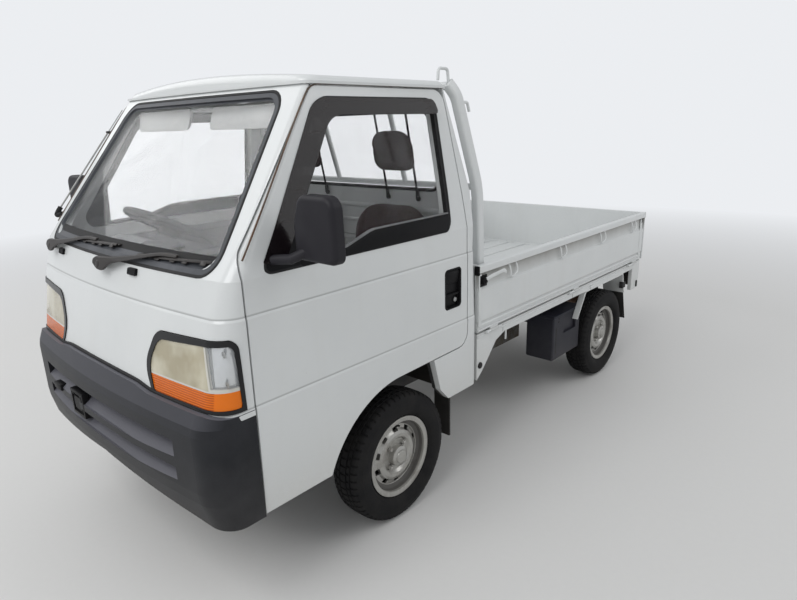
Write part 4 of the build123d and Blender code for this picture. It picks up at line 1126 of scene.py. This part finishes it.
def makeBumperSeal():
    x, u, z = bumperSealAndGapShade["corner"]
    half = [(x, noseY(x, z) - bumperSealAndGapShade["stand"], z) for x, z in bumperSealAndGapShade["nose"]] + [(x, aft(u), z)]
    whole = [(-x, y, z) for x, y, z in reversed(half[1:])] + half
    done(bentRod("bumperSealAndGapShade", whole, bumperSealAndGapShade["radius"]), "chassis", "rubber")


makeBumperSeal()

# Door mirrors: the glass in its rear face, with a rim
mirrorGlass = {
    "corners": [
        (0.7505, 1.200, 0.02), (0.749, 1.292, 0.04), (0.772, 1.368, 0.026), (0.900, 1.368, 0.03), (0.904, 1.200, 0.02),
    ],
    "roll": [(0.004, 0.003), (0.003, 0.0), (0.002, -0.002)], "rear": -0.478, "wall": 0.002, "glassArea": 0.004,
}


def makeMirrors():
    glass = plate("mirrorGlass", mirrorGlass["corners"], "front")
    flip(glass)
    insetFaces(glass, everyFace, mirrorGlass["roll"])
    shifted(glass, (0, aft(mirrorGlass["rear"]), 0))
    thicken(glass, mirrorGlass["wall"])
    rim = copyOf(glass, "mirrorRim")
    area = mirrorGlass["glassArea"]
    dropFaces(glass, lambda face: abs(face.normal.y) < 0.6 or face.calc_area() < area)
    dropFaces(rim, lambda face: face.normal.y > 0.9 and face.calc_area() > area)
    donePair(rim, "mirrorRim", "door", "satin")
    donePair(glass, "mirrorGlass", "door", "silver")


makeMirrors()
print("door handles and mirrors")

# Tyres: a profile spun round the axle, with blocks cut by slots pressed into it
tyreShape = {
    "steps": 216,
    # across the tyre from its middle, and radius
    "profile": [
        (0.000, 0.2710), (0.013, 0.2709), (0.0145, 0.2655), (0.0185, 0.2655), (0.020, 0.2707), (0.033, 0.2700),
        (0.0345, 0.2650), (0.0375, 0.2650), (0.039, 0.2692), (0.050, 0.2672), (0.0585, 0.2630), (0.0625, 0.2560),
        (0.0665, 0.2460), (0.0700, 0.2360), (0.0712, 0.2340), (0.0712, 0.2320), (0.0728, 0.2250), (0.0735, 0.2140),
        (0.0726, 0.2020), (0.0700, 0.1920), (0.0675, 0.1880), (0.0670, 0.1862), (0.0655, 0.1850), (0.0620, 0.1800),
        (0.0540, 0.1730), (0.0485, 0.1700), (0.0480, 0.1560),
    ],
    # slots, each in its own one of every four steps, the last with none: from and to across, least radius
    "slots": [(0.0385, 0.0625, 0.255), (0.0205, 0.0330, 0.268), (-1, 0.0125, 0.268), (0, 0, 0)], "slotDepth": 0.0035,
}


def wheelPlaces():
    for end, reach in (("front", 0), ("rear", truck["wheelbase"])):
        for hand, side in (("left", 1), ("right", -1)):
            yield end + "_" + hand, side < 0, (side * truck["halfTrack"], aft(reach), truck["tyreRadius"])


def makeTyre():
    half = tyreShape["profile"]
    piece = turned("tyre", [(-x, r) for x, r in reversed(half[1:])] + half, tyreShape["steps"])
    edit(piece)
    step = 2 * pi / tyreShape["steps"]

    def isSlot(face):
        place = face.calc_center_median()
        turn = Vector((place.y, place.z)).angle_signed(Vector((0, 1)))
        index = int((turn % (2 * pi)) / step)
        low, high, radius = tyreShape["slots"][index % len(tyreShape["slots"])]
        return low < abs(place.x) < high and hypot(place.y, place.z) > radius

    pick(piece, "faces", isSlot)
    bpy.ops.mesh.extrude_region_shrink_fatten(
        TRANSFORM_OT_shrink_fatten={"value": -tyreShape["slotDepth"], "use_even_offset": True}
    )
    leave()
    return piece


def placeTyres():
    tyre = makeTyre()
    for name, flipped, centre in wheelPlaces():
        copy = copyOf(tyre, "tyreRound_" + name, centre, mirrored=flipped)
        done(copy, "wheel_" + name, "tyre")
        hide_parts("tyre_" + name)
    bpy.data.objects.remove(tyre)


placeTyres()

# Wheels: nuts, cap, valve, and a dark ring between drum and rim, a painted shade behind the vents
wheelParts = {
    "nuts": 4, "nutRing": 0.0575, "nutAt": (0.0255, 0.0385), "nutRadius": 0.0112, "domeRadius": 0.0082,
    "domeDepth": 0.008, "domeOut": 0.003,
    "cap": [
        (0.0585, 0.0285), (0.0615, 0.0270), (0.0630, 0.0225), (0.0622, 0.0215), (0.0632, 0.0120), (0.0640, 0.0005),
    ],
    "ring": [(-0.014, 0.1035), (-0.014, 0.1262), (-0.004, 0.1262), (-0.004, 0.1035)],
    "valve": [(0.020, 0, 0.1245), (0.030, 0, 0.1265), (0.044, 0, 0.1330)], "valveRadius": 0.0042,
    "valveCap": (0.0475, 0, 0.1345), "valveCapRadius": 0.0046, "valveCapDepth": 0.010,
}


def makeWheelParts():
    nuts = []
    low, high = wheelParts["nutAt"]
    for index in range(wheelParts["nuts"]):
        hexagon = drum("nut", ((low + high) / 2, 0, 0), wheelParts["nutRadius"], high - low, "X", 0.0012, 6)
        domeAt = (high + wheelParts["domeOut"], 0, 0)
        dome = drum("nutDome", domeAt, wheelParts["domeRadius"], wheelParts["domeDepth"], "X", 0.0030, 20, 3)
        turn = pi / 4 + index * 2 * pi / wheelParts["nuts"]
        place = (0, wheelParts["nutRing"] * cos(turn), wheelParts["nutRing"] * sin(turn))
        nuts.append(shifted(joined("nut", [hexagon, dome]), place))
    bright = joined("bright", nuts + [turned("hubCap", wheelParts["cap"])])
    # painted shade: a black ring filling the space seen through the vents
    ring = turned("ventShadeRing", wheelParts["ring"], closed=True)
    stem = bentRod("valve", wheelParts["valve"], wheelParts["valveRadius"])
    capSize = wheelParts["valveCapRadius"], wheelParts["valveCapDepth"]
    dark = joined("dark", [ring, stem, drum("valveCap", wheelParts["valveCap"], *capSize, "X", 0.0012, 16)])
    for name, flipped, centre in wheelPlaces():
        for piece, title, look in ((bright, "wheelNuts_", "wheel"), (dark, "wheelDark_", "rubber")):
            done(copyOf(piece, title + name, centre, mirrored=flipped), "wheel_" + name, look)
    for piece in (bright, dark):
        bpy.data.objects.remove(piece)


makeWheelParts()
print("tyres and wheels")

# Seats: shaped blanks, swelled by a cloth simulation, then pressed in along their seams
seat = {
    "middle": 0.300, "voxel": 0.0075, "pressure": 4.0, "moments": 20, "deepest": 0.006, "fill": 0.6,
    "back": [(0.084, 0.722, 0.03), (0.084, 1.236, 0.145), (0.516, 1.236, 0.145), (0.516, 0.722, 0.03)],
    # height, front and rear behind the front axle
    "backSide": [(0.722, 0.342, 0.388), (0.900, 0.303, 0.395), (1.236, 0.346, 0.410)], "backCap": 0.016,
    "cushion": [(0.075, 0.722, 0.03), (0.075, 0.868, 0.045), (0.525, 0.868, 0.045), (0.525, 0.722, 0.03)],
    "cushionSide": [(0.722, -0.055, 0.318), (0.868, -0.060, 0.322)], "cushionCap": 0.016,
    "head": [(0.189, 1.366, 0.052), (0.189, 1.536, 0.070), (0.411, 1.536, 0.070), (0.411, 1.366, 0.052)],
    "headSide": [(1.366, 0.387, 0.433), (1.536, 0.353, 0.399)], "headCap": 0.008,
    # half widths and depths of the seams, their places, and the lean of the headrest's welt
    "seamWide": 0.013, "longSeam": 0.005, "crossSeam": 0.004, "weltWide": 0.008, "weltDeep": 0.003,
    "backPanel": 0.128, "backSeams": [1.085, 0.960], "backFront": 0.352,
    "cushionPanel": 0.135, "cushionTop": 0.80, "cushionCross": (0.02, 0.84), "welt": (0.390, 1.451), "weltLean": 0.2,
    "bar": [(0.458, 1.243), (0.449, 1.243), (0.449, 1.262), (0.376, 1.622), (0.372, 1.640), (0.381, 1.640)],
    "barX": [0.210, 0.390], "barRadius": 0.005,
    # place, radius and depth
    "ferrule": (0.449, 1.260, 0.0085, 0.034), "ferruleFoot": (0.4545, 1.243, 0.011, 0.011),
}
away = 9.0  # a distance from a seam at which it presses nothing


def blank(name, corners, sides):
    # drawn in front view, its front and rear faces set by height
    piece = plate(name, corners, "front", 0.05)
    thicken(piece, 1.0)
    for point in piece.data.vertices:
        z, share = point.co.z, point.co.y
        for (low, front0, rear0), (high, front1, rear1) in zip(sides, sides[1:]):
            if z <= high + 1e-6:
                part = max((z - low) / (high - low), 0)
                break
        front, rear = front0 + (front1 - front0) * part, rear0 + (rear1 - rear0) * part
        point.co.y = aft(front + (rear - front) * share)
    soften(piece, 0.016, 3, 50)
    return piece


def swell(piece, cap, seams):
    grab(piece)
    even = piece.modifiers.new("even", "REMESH")
    even.mode, even.voxel_size = "VOXEL", seat["voxel"]
    bpy.ops.object.modifier_apply(modifier="even")
    start = [point.co.copy() for point in piece.data.vertices]
    cloth = piece.modifiers.new("cloth", "CLOTH")
    cloth.settings.use_pressure, cloth.settings.uniform_pressure_force = True, seat["pressure"]
    cloth.settings.effector_weights.gravity = 0
    cloth.settings.quality = 4
    for moment in range(1, seat["moments"] + 1):
        bpy.context.scene.frame_set(moment)
    grab(piece)
    bpy.ops.object.modifier_apply(modifier="cloth")
    bpy.context.scene.frame_set(1)
    for point, origin in zip(piece.data.vertices, start):
        move = point.co - origin
        if move.length > cap:
            point.co = origin + move * (cap / move.length)
    grab(piece)
    fine = piece.modifiers.new("fine", "SUBSURF")
    fine.levels = fine.render_levels = 1
    bpy.ops.object.modifier_apply(modifier="fine")
    ways = [point.normal.copy() for point in piece.data.vertices]
    for point, way in zip(piece.data.vertices, ways):
        # each seam: distance from it, half width, depth
        offs = [(abs(distance(point.co)) / wide, deep) for distance, wide, deep in seams]
        depth = sum(deep * (1 - off ** 2) ** 2 for off, deep in offs if off < 1)
        point.co -= way * min(depth, seat["deepest"])
    return piece


def makeSeats():
    middle, wide, panel, inner = [seat[key] for key in ("middle", "seamWide", "backPanel", "cushionPanel")]
    front = aft(seat["backFront"])
    (crossU, crossZ), (weltU, weltZ) = seat["cushionCross"], seat["welt"]

    def alongBack(spot):
        return abs(spot.x - middle) - panel if spot.y < front else away

    def acrossBack(height):
        return lambda spot: spot.z - height if spot.y < front and abs(spot.x - middle) < panel else away

    def alongCushion(spot):
        return abs(spot.x - middle) - inner if spot.z > seat["cushionTop"] else away

    def acrossCushion(spot):
        return spot.y - aft(crossU) if spot.z > crossZ and abs(spot.x - middle) < inner else away

    def roundHead(spot):
        return spot.y - aft(weltU - (spot.z - weltZ) * seat["weltLean"])

    backSeams = [(alongBack, wide, seat["longSeam"])]
    backSeams += [(acrossBack(height), wide, seat["crossSeam"]) for height in seat["backSeams"]]
    cushionSeams = [(alongCushion, wide, seat["longSeam"]), (acrossCushion, wide, seat["crossSeam"])]
    welt = [(roundHead, seat["weltWide"], seat["weltDeep"])]
    for part, title, node, seams in (
        ("back", "seatBack", "seat_backs", backSeams), ("cushion", "seatCushion", "seat_cushions", cushionSeams),
        ("head", "headrest", "headrests", welt),
    ):
        piece = swell(blank(title, seat[part], seat[part + "Side"]), seat[part + "Cap"], seams)
        both = donePair(piece, title, "chassis", "cloth", smooth=60)
        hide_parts(node)


def makeHeadBars():
    bars, ferrules = [], []
    (upU, upZ, *upSize), (footU, footZ, *footSize) = seat["ferrule"], seat["ferruleFoot"]
    for x in seat["barX"]:
        bars.append(rod([(x, u, z) for u, z in seat["bar"]], seat["barRadius"]))
        ferrules.append(drum("ferrule", (x, aft(upU), upZ), *upSize, "Z", 0.003, 20, 3))
        ferrules.append(drum("ferrule", (x, aft(footU), footZ), *footSize, "Y", 0.002, 20))
    donePair(joined("bars", bars), "headBars", "chassis", "satin")
    donePair(joined("ferrules", ferrules), "ferrules", "chassis", "rubber")


makeSeats()
makeHeadBars()
print("seats")

# Cab inside. Blocks are given by two corners, rounding and steps, rods by their points and radius
backPanel = {"beads": [1.030, 1.120, 1.195], "half": 0.56, "tall": 0.011, "from": 0.452, "to": 0.461}

def makeBackPanel():
    half, tall, start, end = [backPanel[key] for key in ("half", "tall", "from", "to")]
    beads = bricks([((-half, start, z - tall), (half, end, z + tall), 0.005, 3) for z in backPanel["beads"]])
    done(joined("backPanelBeads", beads), "chassis", "body")


dash = {
    "gauges": [(-0.368, 1.088, 0.038), (-0.276, 1.088, 0.038)], "gaugeU": -0.4575, "gaugeDepth": 0.012,
    "gaugePress": [(0.004, 0.0), (0.001, -0.004)],
    "vents": [(-0.575, 1.065), (-0.10, 1.070), (0.02, 1.070), (0.575, 1.065)],
    "ventPress": [(0.004, 0.0), (0.001, -0.012)], "slats": [-0.014, -0.003, 0.008],
    "lid": ((0.130, -0.610, 0.945), (0.520, -0.574, 1.030), 0.007, 3), "lidPress": (0.010, -0.002),
    "catch": ((0.300, -0.580, 1.008), (0.350, -0.570, 1.022), 0.003, 2),
    "panel": ((-0.130, -0.600, 0.935), (0.070, -0.570, 1.030), 0.005, 2),
    "knobs": [-0.105, 0.045], "knobAt": (-0.562, 0.985), "slides": [0.955, 0.980, 1.005],
}


def makeDashFittings():
    gauges = []
    for x, z, radius in dash["gauges"]:
        gauges.append(drum("gauge", (x, aft(dash["gaugeU"]), z), radius, dash["gaugeDepth"], "Y", 0.002, 40))
        insetFaces(gauges[-1], facing("y"), dash["gaugePress"])
    done(joined("gauges", gauges), "chassis", "gloss")
    vents = []
    for x, z in dash["vents"]:
        vents += bricks([((x - 0.048, -0.600, z - 0.026), (x + 0.048, -0.5645, z + 0.024), 0.004, 2)])
        insetFaces(vents[-1], facing("y"), dash["ventPress"])
        vents += bricks(
            ((x - 0.043, -0.578, z + rise), (x + 0.043, -0.567, z + rise + 0.003), 0.001, 1) for rise in dash["slats"]
        )
    done(joined("dashVents", vents), "chassis", "darkTrim")
    panels = bricks([dash["lid"], dash["catch"]])
    insetFaces(panels[0], facing("y"), [dash["lidPress"]])
    done(joined("dashPanels", panels), "chassis", "trim")
    knobU, knobZ = dash["knobAt"]
    controls = bricks([dash["panel"]])
    controls += [drum("knob", (x, aft(knobU), knobZ), 0.011, 0.018, "Y", 0.003, 24, 2) for x in dash["knobs"]]
    controls += bricks(((-0.080, -0.573, z), (0.020, -0.566, z + 0.006), 0.002, 1) for z in dash["slides"])
    done(joined("dashControls", controls), "chassis", "darkTrim")


steering = {
    "pad": 0.066, "padPress": [(0.012, 0.0), (0.003, -0.002), (0.012, 0.003)], "cover": 0.046,
    # middle of the wheel, and how far it leans back from upright
    "place": (-0.320, -0.345, 1.165), "lean": pi / 6,
    "stalk": [(0.040, -0.395, 1.080), (0.100, -0.387, 1.092), (0.175, -0.383, 1.110)], "stalkRadius": 0.0055,
}


def makeSteeringPad():
    pad = drum("steeringPad", (0, 0, 0.006), steering["pad"], 0.034, "Z", 0.010, 48, 4)
    insetFaces(pad, facing("z"), steering["padPress"])
    cover = drum("columnCover", (0, 0, -0.130), steering["cover"], 0.120, "Z", 0.008, 32, 3)
    x, u, z = steering["place"]
    for piece, body in ((pad, "steering_wheel"), (cover, "chassis")):
        done(shifted(piece, (x, aft(u), z), -steering["lean"]), body, "darkTrim")
    stalks = [
        rod([(x + side * out, u, z) for out, u, z in steering["stalk"]], steering["stalkRadius"]) for side in (-1, 1)
    ]
    done(joined("columnStalks", stalks), "chassis", "darkTrim")


levers = {
    "gear": [(0.0, -0.150, 0.80), (0.0, -0.152, 0.90), (-0.015, -0.185, 1.005)], "gearRadius": 0.0062,
    "knob": (-0.017, -0.190, 1.022),
    # height above its foot, and radius
    "boot": [
        (0.0, 0.046), (0.012, 0.044), (0.020, 0.036), (0.030, 0.036), (0.045, 0.026), (0.055, 0.027), (0.085, 0.012),
        (0.098, 0.006),
    ],
    "bootFoot": (0, -0.150, 0.7125),
    "brake": [(0.034, 0.140, 0.735), (0.034, 0.060, 0.790), (0.034, -0.020, 0.850), (0.034, -0.060, 0.868)],
    "brakeRadius": 0.009,
    "grip": [(0.034, -0.045, 0.862), (0.034, -0.110, 0.885), (0.034, -0.155, 0.899)], "gripRadius": 0.0145,
}


def makeLevers():
    x, u, z = levers["knob"]
    footX, footU, footZ = levers["bootFoot"]
    boot = shifted(turned("boot", levers["boot"]), (footX, aft(footU), footZ), -pi / 2, "Y")
    parts = [
        rod(levers["gear"], levers["gearRadius"]), drum("knob", (x, aft(u), z), 0.020, 0.044, "Z", 0.016, 32, 5), boot,
        rod(levers["brake"], levers["brakeRadius"]), rod(levers["grip"], levers["gripRadius"], resolution=4),
    ]
    done(joined("levers", parts), "chassis", "darkTrim")


pedals = {
    "x": [-0.455, -0.365, -0.250], "half": (0.026, 0.006, 0.034), "place": (0, -0.585, 0.560), "lean": 0.6,
    "arm": [(-0.590, 0.565), (-0.625, 0.680), (-0.640, 0.885)], "armRadius": 0.007,
}


def makePedals():
    parts = []
    wide, deep, tall = pedals["half"]
    px, pu, pz = pedals["place"]
    for x in pedals["x"]:
        pad = block("pedal", (x - wide, -deep, -tall), (x + wide, deep, tall), 0.003, 2)
        insetFaces(pad, facing("y"), [(0.006, 0.002)])
        parts.append(shifted(pad, (px, aft(pu), pz), -pedals["lean"]))
        parts.append(rod([(x, u, z) for u, z in pedals["arm"]], pedals["armRadius"]))
    done(joined("pedals", parts), "chassis", "satin")


sunVisor = {
    "corners": [(0.075, 1.560, 0.02), (0.075, 1.640, 0.012), (0.500, 1.640, 0.012), (0.470, 1.560, 0.02)],
    "bead": [(0.004, 0.002), (0.008, 0.0015)], "wall": 0.014, "top": (-0.325, 1.640), "lean": 0.35,
    "rod": [(0.095, -0.318, 1.640), (0.480, -0.318, 1.640), (0.490, -0.318, 1.665)], "rodRadius": 0.004,
}


def makeSunVisors():
    visor = plate("visor", sunVisor["corners"], "front", 0.1)
    insetFaces(visor, everyFace, sunVisor["bead"])
    thicken(visor, sunVisor["wall"])
    u, top = sunVisor["top"]
    for point in visor.data.vertices:
        point.co.y += aft(u - (top - point.co.z) * sunVisor["lean"])
    donePair(joined("visor", [visor, rod(sunVisor["rod"], sunVisor["rodRadius"])]), "sunVisor", "chassis", "lining")


doorTrim = {
    "board": ((0.6405, -0.520, 0.800), (0.6515, 0.330, 1.110), 0.004, 2),
    "boardPress": [(0.030, 0.0), (0.004, -0.003)],
    "rest": ((0.6105, -0.120, 0.950), (0.6425, 0.160, 0.985), 0.010, 3),
    "pull": ((0.6325, -0.230, 0.985), (0.6415, -0.150, 1.030), 0.004, 2),
    "crank": [
        (0.6425, -0.300, 0.890), (0.6245, -0.300, 0.890), (0.6205, -0.345, 0.935), (0.6185, -0.372, 0.962),
        (0.5965, -0.374, 0.964),
    ],
    "crankRadius": 0.006, "hub": (0.6365, -0.300, 0.890), "hubRadius": 0.018,
}


def makeDoorTrim():
    board, rest, pull = bricks([doorTrim["board"], doorTrim["rest"], doorTrim["pull"]])
    insetFaces(board, facing("x", -1), doorTrim["boardPress"])
    x, u, z = doorTrim["hub"]
    hub = drum("hub", (x, aft(u), z), doorTrim["hubRadius"], 0.012, "X", 0.003, 28)
    crank = rod(doorTrim["crank"], doorTrim["crankRadius"])
    donePair(joined("trim", [board, rest]), "doorTrim", "door", "trim")
    donePair(joined("crank", [pull, crank, hub]), "doorCrank", "door", "darkTrim")


for makeFitting in (
    makeBackPanel, makeDashFittings, makeSteeringPad, makeLevers, makePedals, makeSunVisors, makeDoorTrim,
):
    makeFitting()
print("cab inside")

# Side gates: beads and end ribs, rope staples, latch lever and its base. x from the gate's outer face
gate = {
    "ribs": [
        ((-0.006, 0.5005, 0.6885), (0.002, 2.3425, 0.701), 0.0035, 3),
        ((-0.006, 0.5005, 0.668), (0.0005, 2.3425, 0.676), 0.003, 3),
        ((-0.003, 0.5005, 0.690), (0.0028, 0.5205, 0.930), 0.0025, 3),
        ((-0.003, 2.3225, 0.690), (0.0028, 2.3425, 0.930), 0.0025, 3),
    ],
    "staples": [0.742, 1.230, 1.712, 2.170], "stapleRadius": 0.0042,
    "staple": [
        (-0.002, 0, 0.934), (0.008, 0, 0.922), (0.012, 0, 0.886), (0.011, 0.008, 0.872), (0.008, 0.046, 0.880),
        (0.012, 0.058, 0.890), (0.008, 0.058, 0.922), (-0.002, 0.058, 0.934),
    ],
    "lever": [
        (0.514, 0.889, 0.004), (0.560, 0.903, 0.02), (0.672, 0.912, 0.01), (0.694, 0.899, 0.006),
        (0.697, 0.912, 0.006), (0.680, 0.930, 0.012), (0.556, 0.921, 0.02), (0.514, 0.909, 0.004),
    ],
    "leverBead": (0.003, 0.0015), "leverWall": 0.009, "leverOut": 0.018,
    # plate, hook, front cap and rear cap
    "base": [
        ((-0.003, 0.506, 0.872), (0.004, 0.560, 0.924), 0.003, 2),
        ((0.002, 0.512, 0.884), (0.020, 0.536, 0.914), 0.004, 2),
        ((-0.020, 0.4935, 0.926), (0.0055, 0.5035, 0.967), 0.003, 2),
        ((-0.020, 2.3395, 0.905), (0.0055, 2.3435, 0.958), 0.0015, 2),
    ],
    "pin": (0.017, 0.526, 0.899),
}


def makeGateParts():
    out = truck["gateOut"]
    ribs = bricks(gate["ribs"], out)
    for start in gate["staples"]:
        ribs.append(rod([(out + x, start + u, z) for x, u, z in gate["staple"]], gate["stapleRadius"]))
    lever = sidePlate("lever", gate["lever"])
    insetFaces(lever, everyFace, [gate["leverBead"]])
    thicken(lever, gate["leverWall"])
    shifted(lever, (out + gate["leverOut"], 0, 0))
    x, u, z = gate["pin"]
    base = bricks(gate["base"], out) + [drum("pin", (out + x, aft(u), z), 0.008, 0.016, "X", 0.002, 20)]
    donePair(joined("ribs", ribs), "gateRibs", "gate", "fitting")
    donePair(lever, "latchLever", "gate", "fitting")
    donePair(joined("base", base), "latchBase", "gate", "satin")


makeGateParts()

# Tailgate: its outer face is 2.402 behind the front axle
tailgate = {
    "ribs": [
        ((-0.664, 2.396, 0.6885), (0.664, 2.404, 0.701), 0.0035, 3),
        ((0.644, 2.399, 0.690), (0.664, 2.4048, 0.930), 0.0025, 3),
        ((-0.664, 2.399, 0.690), (-0.644, 2.4048, 0.930), 0.0025, 3),
    ],
    "staples": [-0.42, 0.0, 0.42], "stapleRadius": 0.0036,
    "staple": [
        (-0.029, 2.399, 0.934), (-0.029, 2.405, 0.922), (-0.029, 2.4058, 0.882), (0.029, 2.4058, 0.882),
        (0.029, 2.405, 0.922), (0.029, 2.399, 0.934),
    ],
    "latchX": 0.600, "latch": ((-0.022, 2.395, 0.866), (0.022, 2.404, 0.926), 0.003, 2), "handleRadius": 0.0052,
    "handle": [(0, 2.401, 0.905), (-0.02, 2.404, 0.900), (-0.12, 2.4042, 0.888), (-0.14, 2.403, 0.870)],
}


def makeTailgateParts():
    ribs = bricks(tailgate["ribs"])
    for middle in tailgate["staples"]:
        ribs.append(rod([(middle + x, u, z) for x, u, z in tailgate["staple"]], tailgate["stapleRadius"]))
    done(joined("tailgateRibs", ribs), "tailgate", "bed")
    latches = []
    for side in (-1, 1):
        latches += bricks([tailgate["latch"]], side * tailgate["latchX"])
        path = [(side * (tailgate["latchX"] + x), u, z) for x, u, z in tailgate["handle"]]
        latches.append(rod(path, tailgate["handleRadius"]))
    done(joined("tailgateLatches", latches), "tailgate", "satin")


makeTailgateParts()

# Skirts below the bed: seams, plug, stops, strap, tab and bead, and the gates' hinge pins. x from the skirt's face
skirt = {
    "out": 0.678, "seams": [0.712, 1.421], "seamHalf": 0.0011, "seamTall": (0.613, 0.652),
    "plug": (0.001, 0.524, 0.502), "plugRadius": 0.015,
    # end of the post and rear stop
    "dark": [
        ((-0.020, 2.3395, 0.476), (0.006, 2.3600, 0.520), 0.006, 3),
        ((-0.022, 2.120, 0.512), (0.002, 2.168, 0.552), 0.004, 2),
    ],
    # strap, tab and bead
    "light": [
        ((-0.012, 0.745, 0.562), (-0.006, 0.757, 0.618), 0.002, 2),
        ((-0.001, 1.640, 0.616), (0.006, 1.668, 0.634), 0.002, 2),
        ((-0.002, 0.503, 0.6365), (0.0035, 2.262, 0.6445), 0.0025, 2),
    ],
    "pins": [0.620, 1.422, 2.224], "pinAt": (0.690, 0.655), "pinRadius": 0.0052, "pinDepth": 0.112,
    "headRadius": 0.0078, "headDepth": 0.010, "headOff": -0.058,
}


def makeSkirtParts():
    out, half, (low, high) = skirt["out"], skirt["seamHalf"], skirt["seamTall"]
    dark = bricks([((-0.001, u - half, low), (0.0004, u + half, high), 0.0002, 1) for u in skirt["seams"]], out)
    x, u, z = skirt["plug"]
    dark.append(drum("plug", (out + x, aft(u), z), skirt["plugRadius"], 0.010, "X", 0.003, 28, 3))
    donePair(joined("dark", dark + bricks(skirt["dark"], out)), "skirtDark", "chassis", "rubber")
    donePair(joined("light", bricks(skirt["light"], out)), "skirtLight", "chassis", "fitting")
    pins = []
    x, z = skirt["pinAt"]
    for u in skirt["pins"]:
        pins.append(drum("pin", (x, aft(u), z), skirt["pinRadius"], skirt["pinDepth"], "Y", 0.001, 20))
        headAt = (x, aft(u + skirt["headOff"]), z)
        pins.append(drum("pin", headAt, skirt["headRadius"], skirt["headDepth"], "Y", 0.002, 20))
    donePair(joined("pins", pins), "hingePins", "chassis", "fitting")


makeSkirtParts()

# Side box: slot and holes on its face, and its lid
sideBox = {
    "face": 0.640, "slot": ((-0.001, 1.322, 0.300), (0.0006, 1.330, 0.452), 0.0003, 1), "holes": [0.503, 0.482],
    "holeU": 1.352, "holeRadius": 0.0065, "lid": ((0.466, 1.287, 0.508), (0.6435, 1.615, 0.524), 0.005, 3),
}


def makeSideBoxParts():
    marks = bricks([sideBox["slot"]], sideBox["face"])
    for z in sideBox["holes"]:
        place = (sideBox["face"], aft(sideBox["holeU"]), z)
        marks.append(drum("hole", place, sideBox["holeRadius"], 0.002, "X", 0.0004, 20))
    done(joined("boxMarks", marks), "chassis", "rubber")
    done(called(bricks([sideBox["lid"]])[0], "boxLid"), "chassis", "box")


makeSideBoxParts()

# Tail lamps: lenses and rims, the plate lamp, and the guard frame's bolts
tail = {
    # corners, then how far in and out from the lamps' face
    "lamps": 2.393, "lensEdge": 0.0025, "lensDepth": (-0.001, 0.003), "rimEdge": 0.003,
    "rim": ((0.417, 0.497), (0.653, 0.593), (-0.010, -0.0035)),
    "lenses": {"amber": ((0.578, 0.507), (0.645, 0.583)), "pearl": ((0.425, 0.507), (0.480, 0.583))},
    "plateLamp": ((-0.045, 2.381, 0.628), (0.045, 2.400, 0.648), 0.005, 3), "plateLampPress": (0.004, -0.002),
    "bolts": [(0.600, 0.549, 0.6825), (0.600, 0.599, 0.6825), (0.6605, 0.549, 0.6825)], "boltRadius": 0.008,
}


def makeRearParts():
    y = aft(tail["lamps"])
    parts = []
    for look, corners in tail["lenses"].items():
        parts.append((*corners, tail["lensDepth"], tail["lensEdge"], 3, "tailLens_" + look, look))
    parts.append((*tail["rim"], tail["rimEdge"], 2, "tailRim", "gloss"))
    for side, hand in ((-1, "_right"), (1, "_left")):
        for (inner, low), (outer, high), (front, rear), edge, steps, title, look in parts:
            first, last = sorted((side * inner, side * outer))
            piece = block(title + hand, (first, y + front, low), (last, y + rear, high), edge, steps)
            done(piece, "chassis", look)
    lamp = called(bricks([tail["plateLamp"]])[0], "plateLamp")
    insetFaces(lamp, facing("z", -1), [tail["plateLampPress"]])
    done(lamp, "chassis", "satin")
    bolts = [drum("bolt", (x, aft(u), z), tail["boltRadius"], 0.009, "Z", 0.0015, 6) for x, u, z in tail["bolts"]]
    donePair(joined("bolts", bolts), "guardBolts", "chassis", "galvanised")


makeRearParts()
print("bed details")

# Radio aerial on the far windscreen pillar
aerial = {
    "foot": (-0.712, -0.655, 1.235), "tip": (-0.645, -0.335, 1.655), "clip": 0.78, "inward": (0.030, 0.012, 0),
    "rodRadius": 0.0036, "topRadius": 0.0022, "baseRadius": 0.010, "clipRadius": 0.006, "baseDrop": 0.012,
}


def makeAerial():
    foot, tip, inward = Vector(aerial["foot"]), Vector(aerial["tip"]), Vector(aerial["inward"])
    foot.y, tip.y = aft(foot.y), aft(tip.y)
    clip, drop = foot.lerp(tip, aerial["clip"]), Vector((0, 0, -aerial["baseDrop"]))
    rods = [
        bentRod("aerialRod", [foot, foot.lerp(tip, 0.5), clip], aerial["rodRadius"]),
        bentRod("aerialTop", [clip, clip.lerp(tip, 0.5), tip], aerial["topRadius"]),
    ]
    done(joined("aerial", rods), "chassis", "galvanised")
    base = bentRod("base", [foot + inward, foot + drop, foot, foot.lerp(tip, 0.06)], aerial["baseRadius"], 4)
    holder = bentRod("clip", [clip + inward, clip + inward * 0.4, clip - inward * 0.2], aerial["clipRadius"])
    done(joined("aerialFeet", [base, holder]), "chassis", "rubber")


makeAerial()
print("aerial")
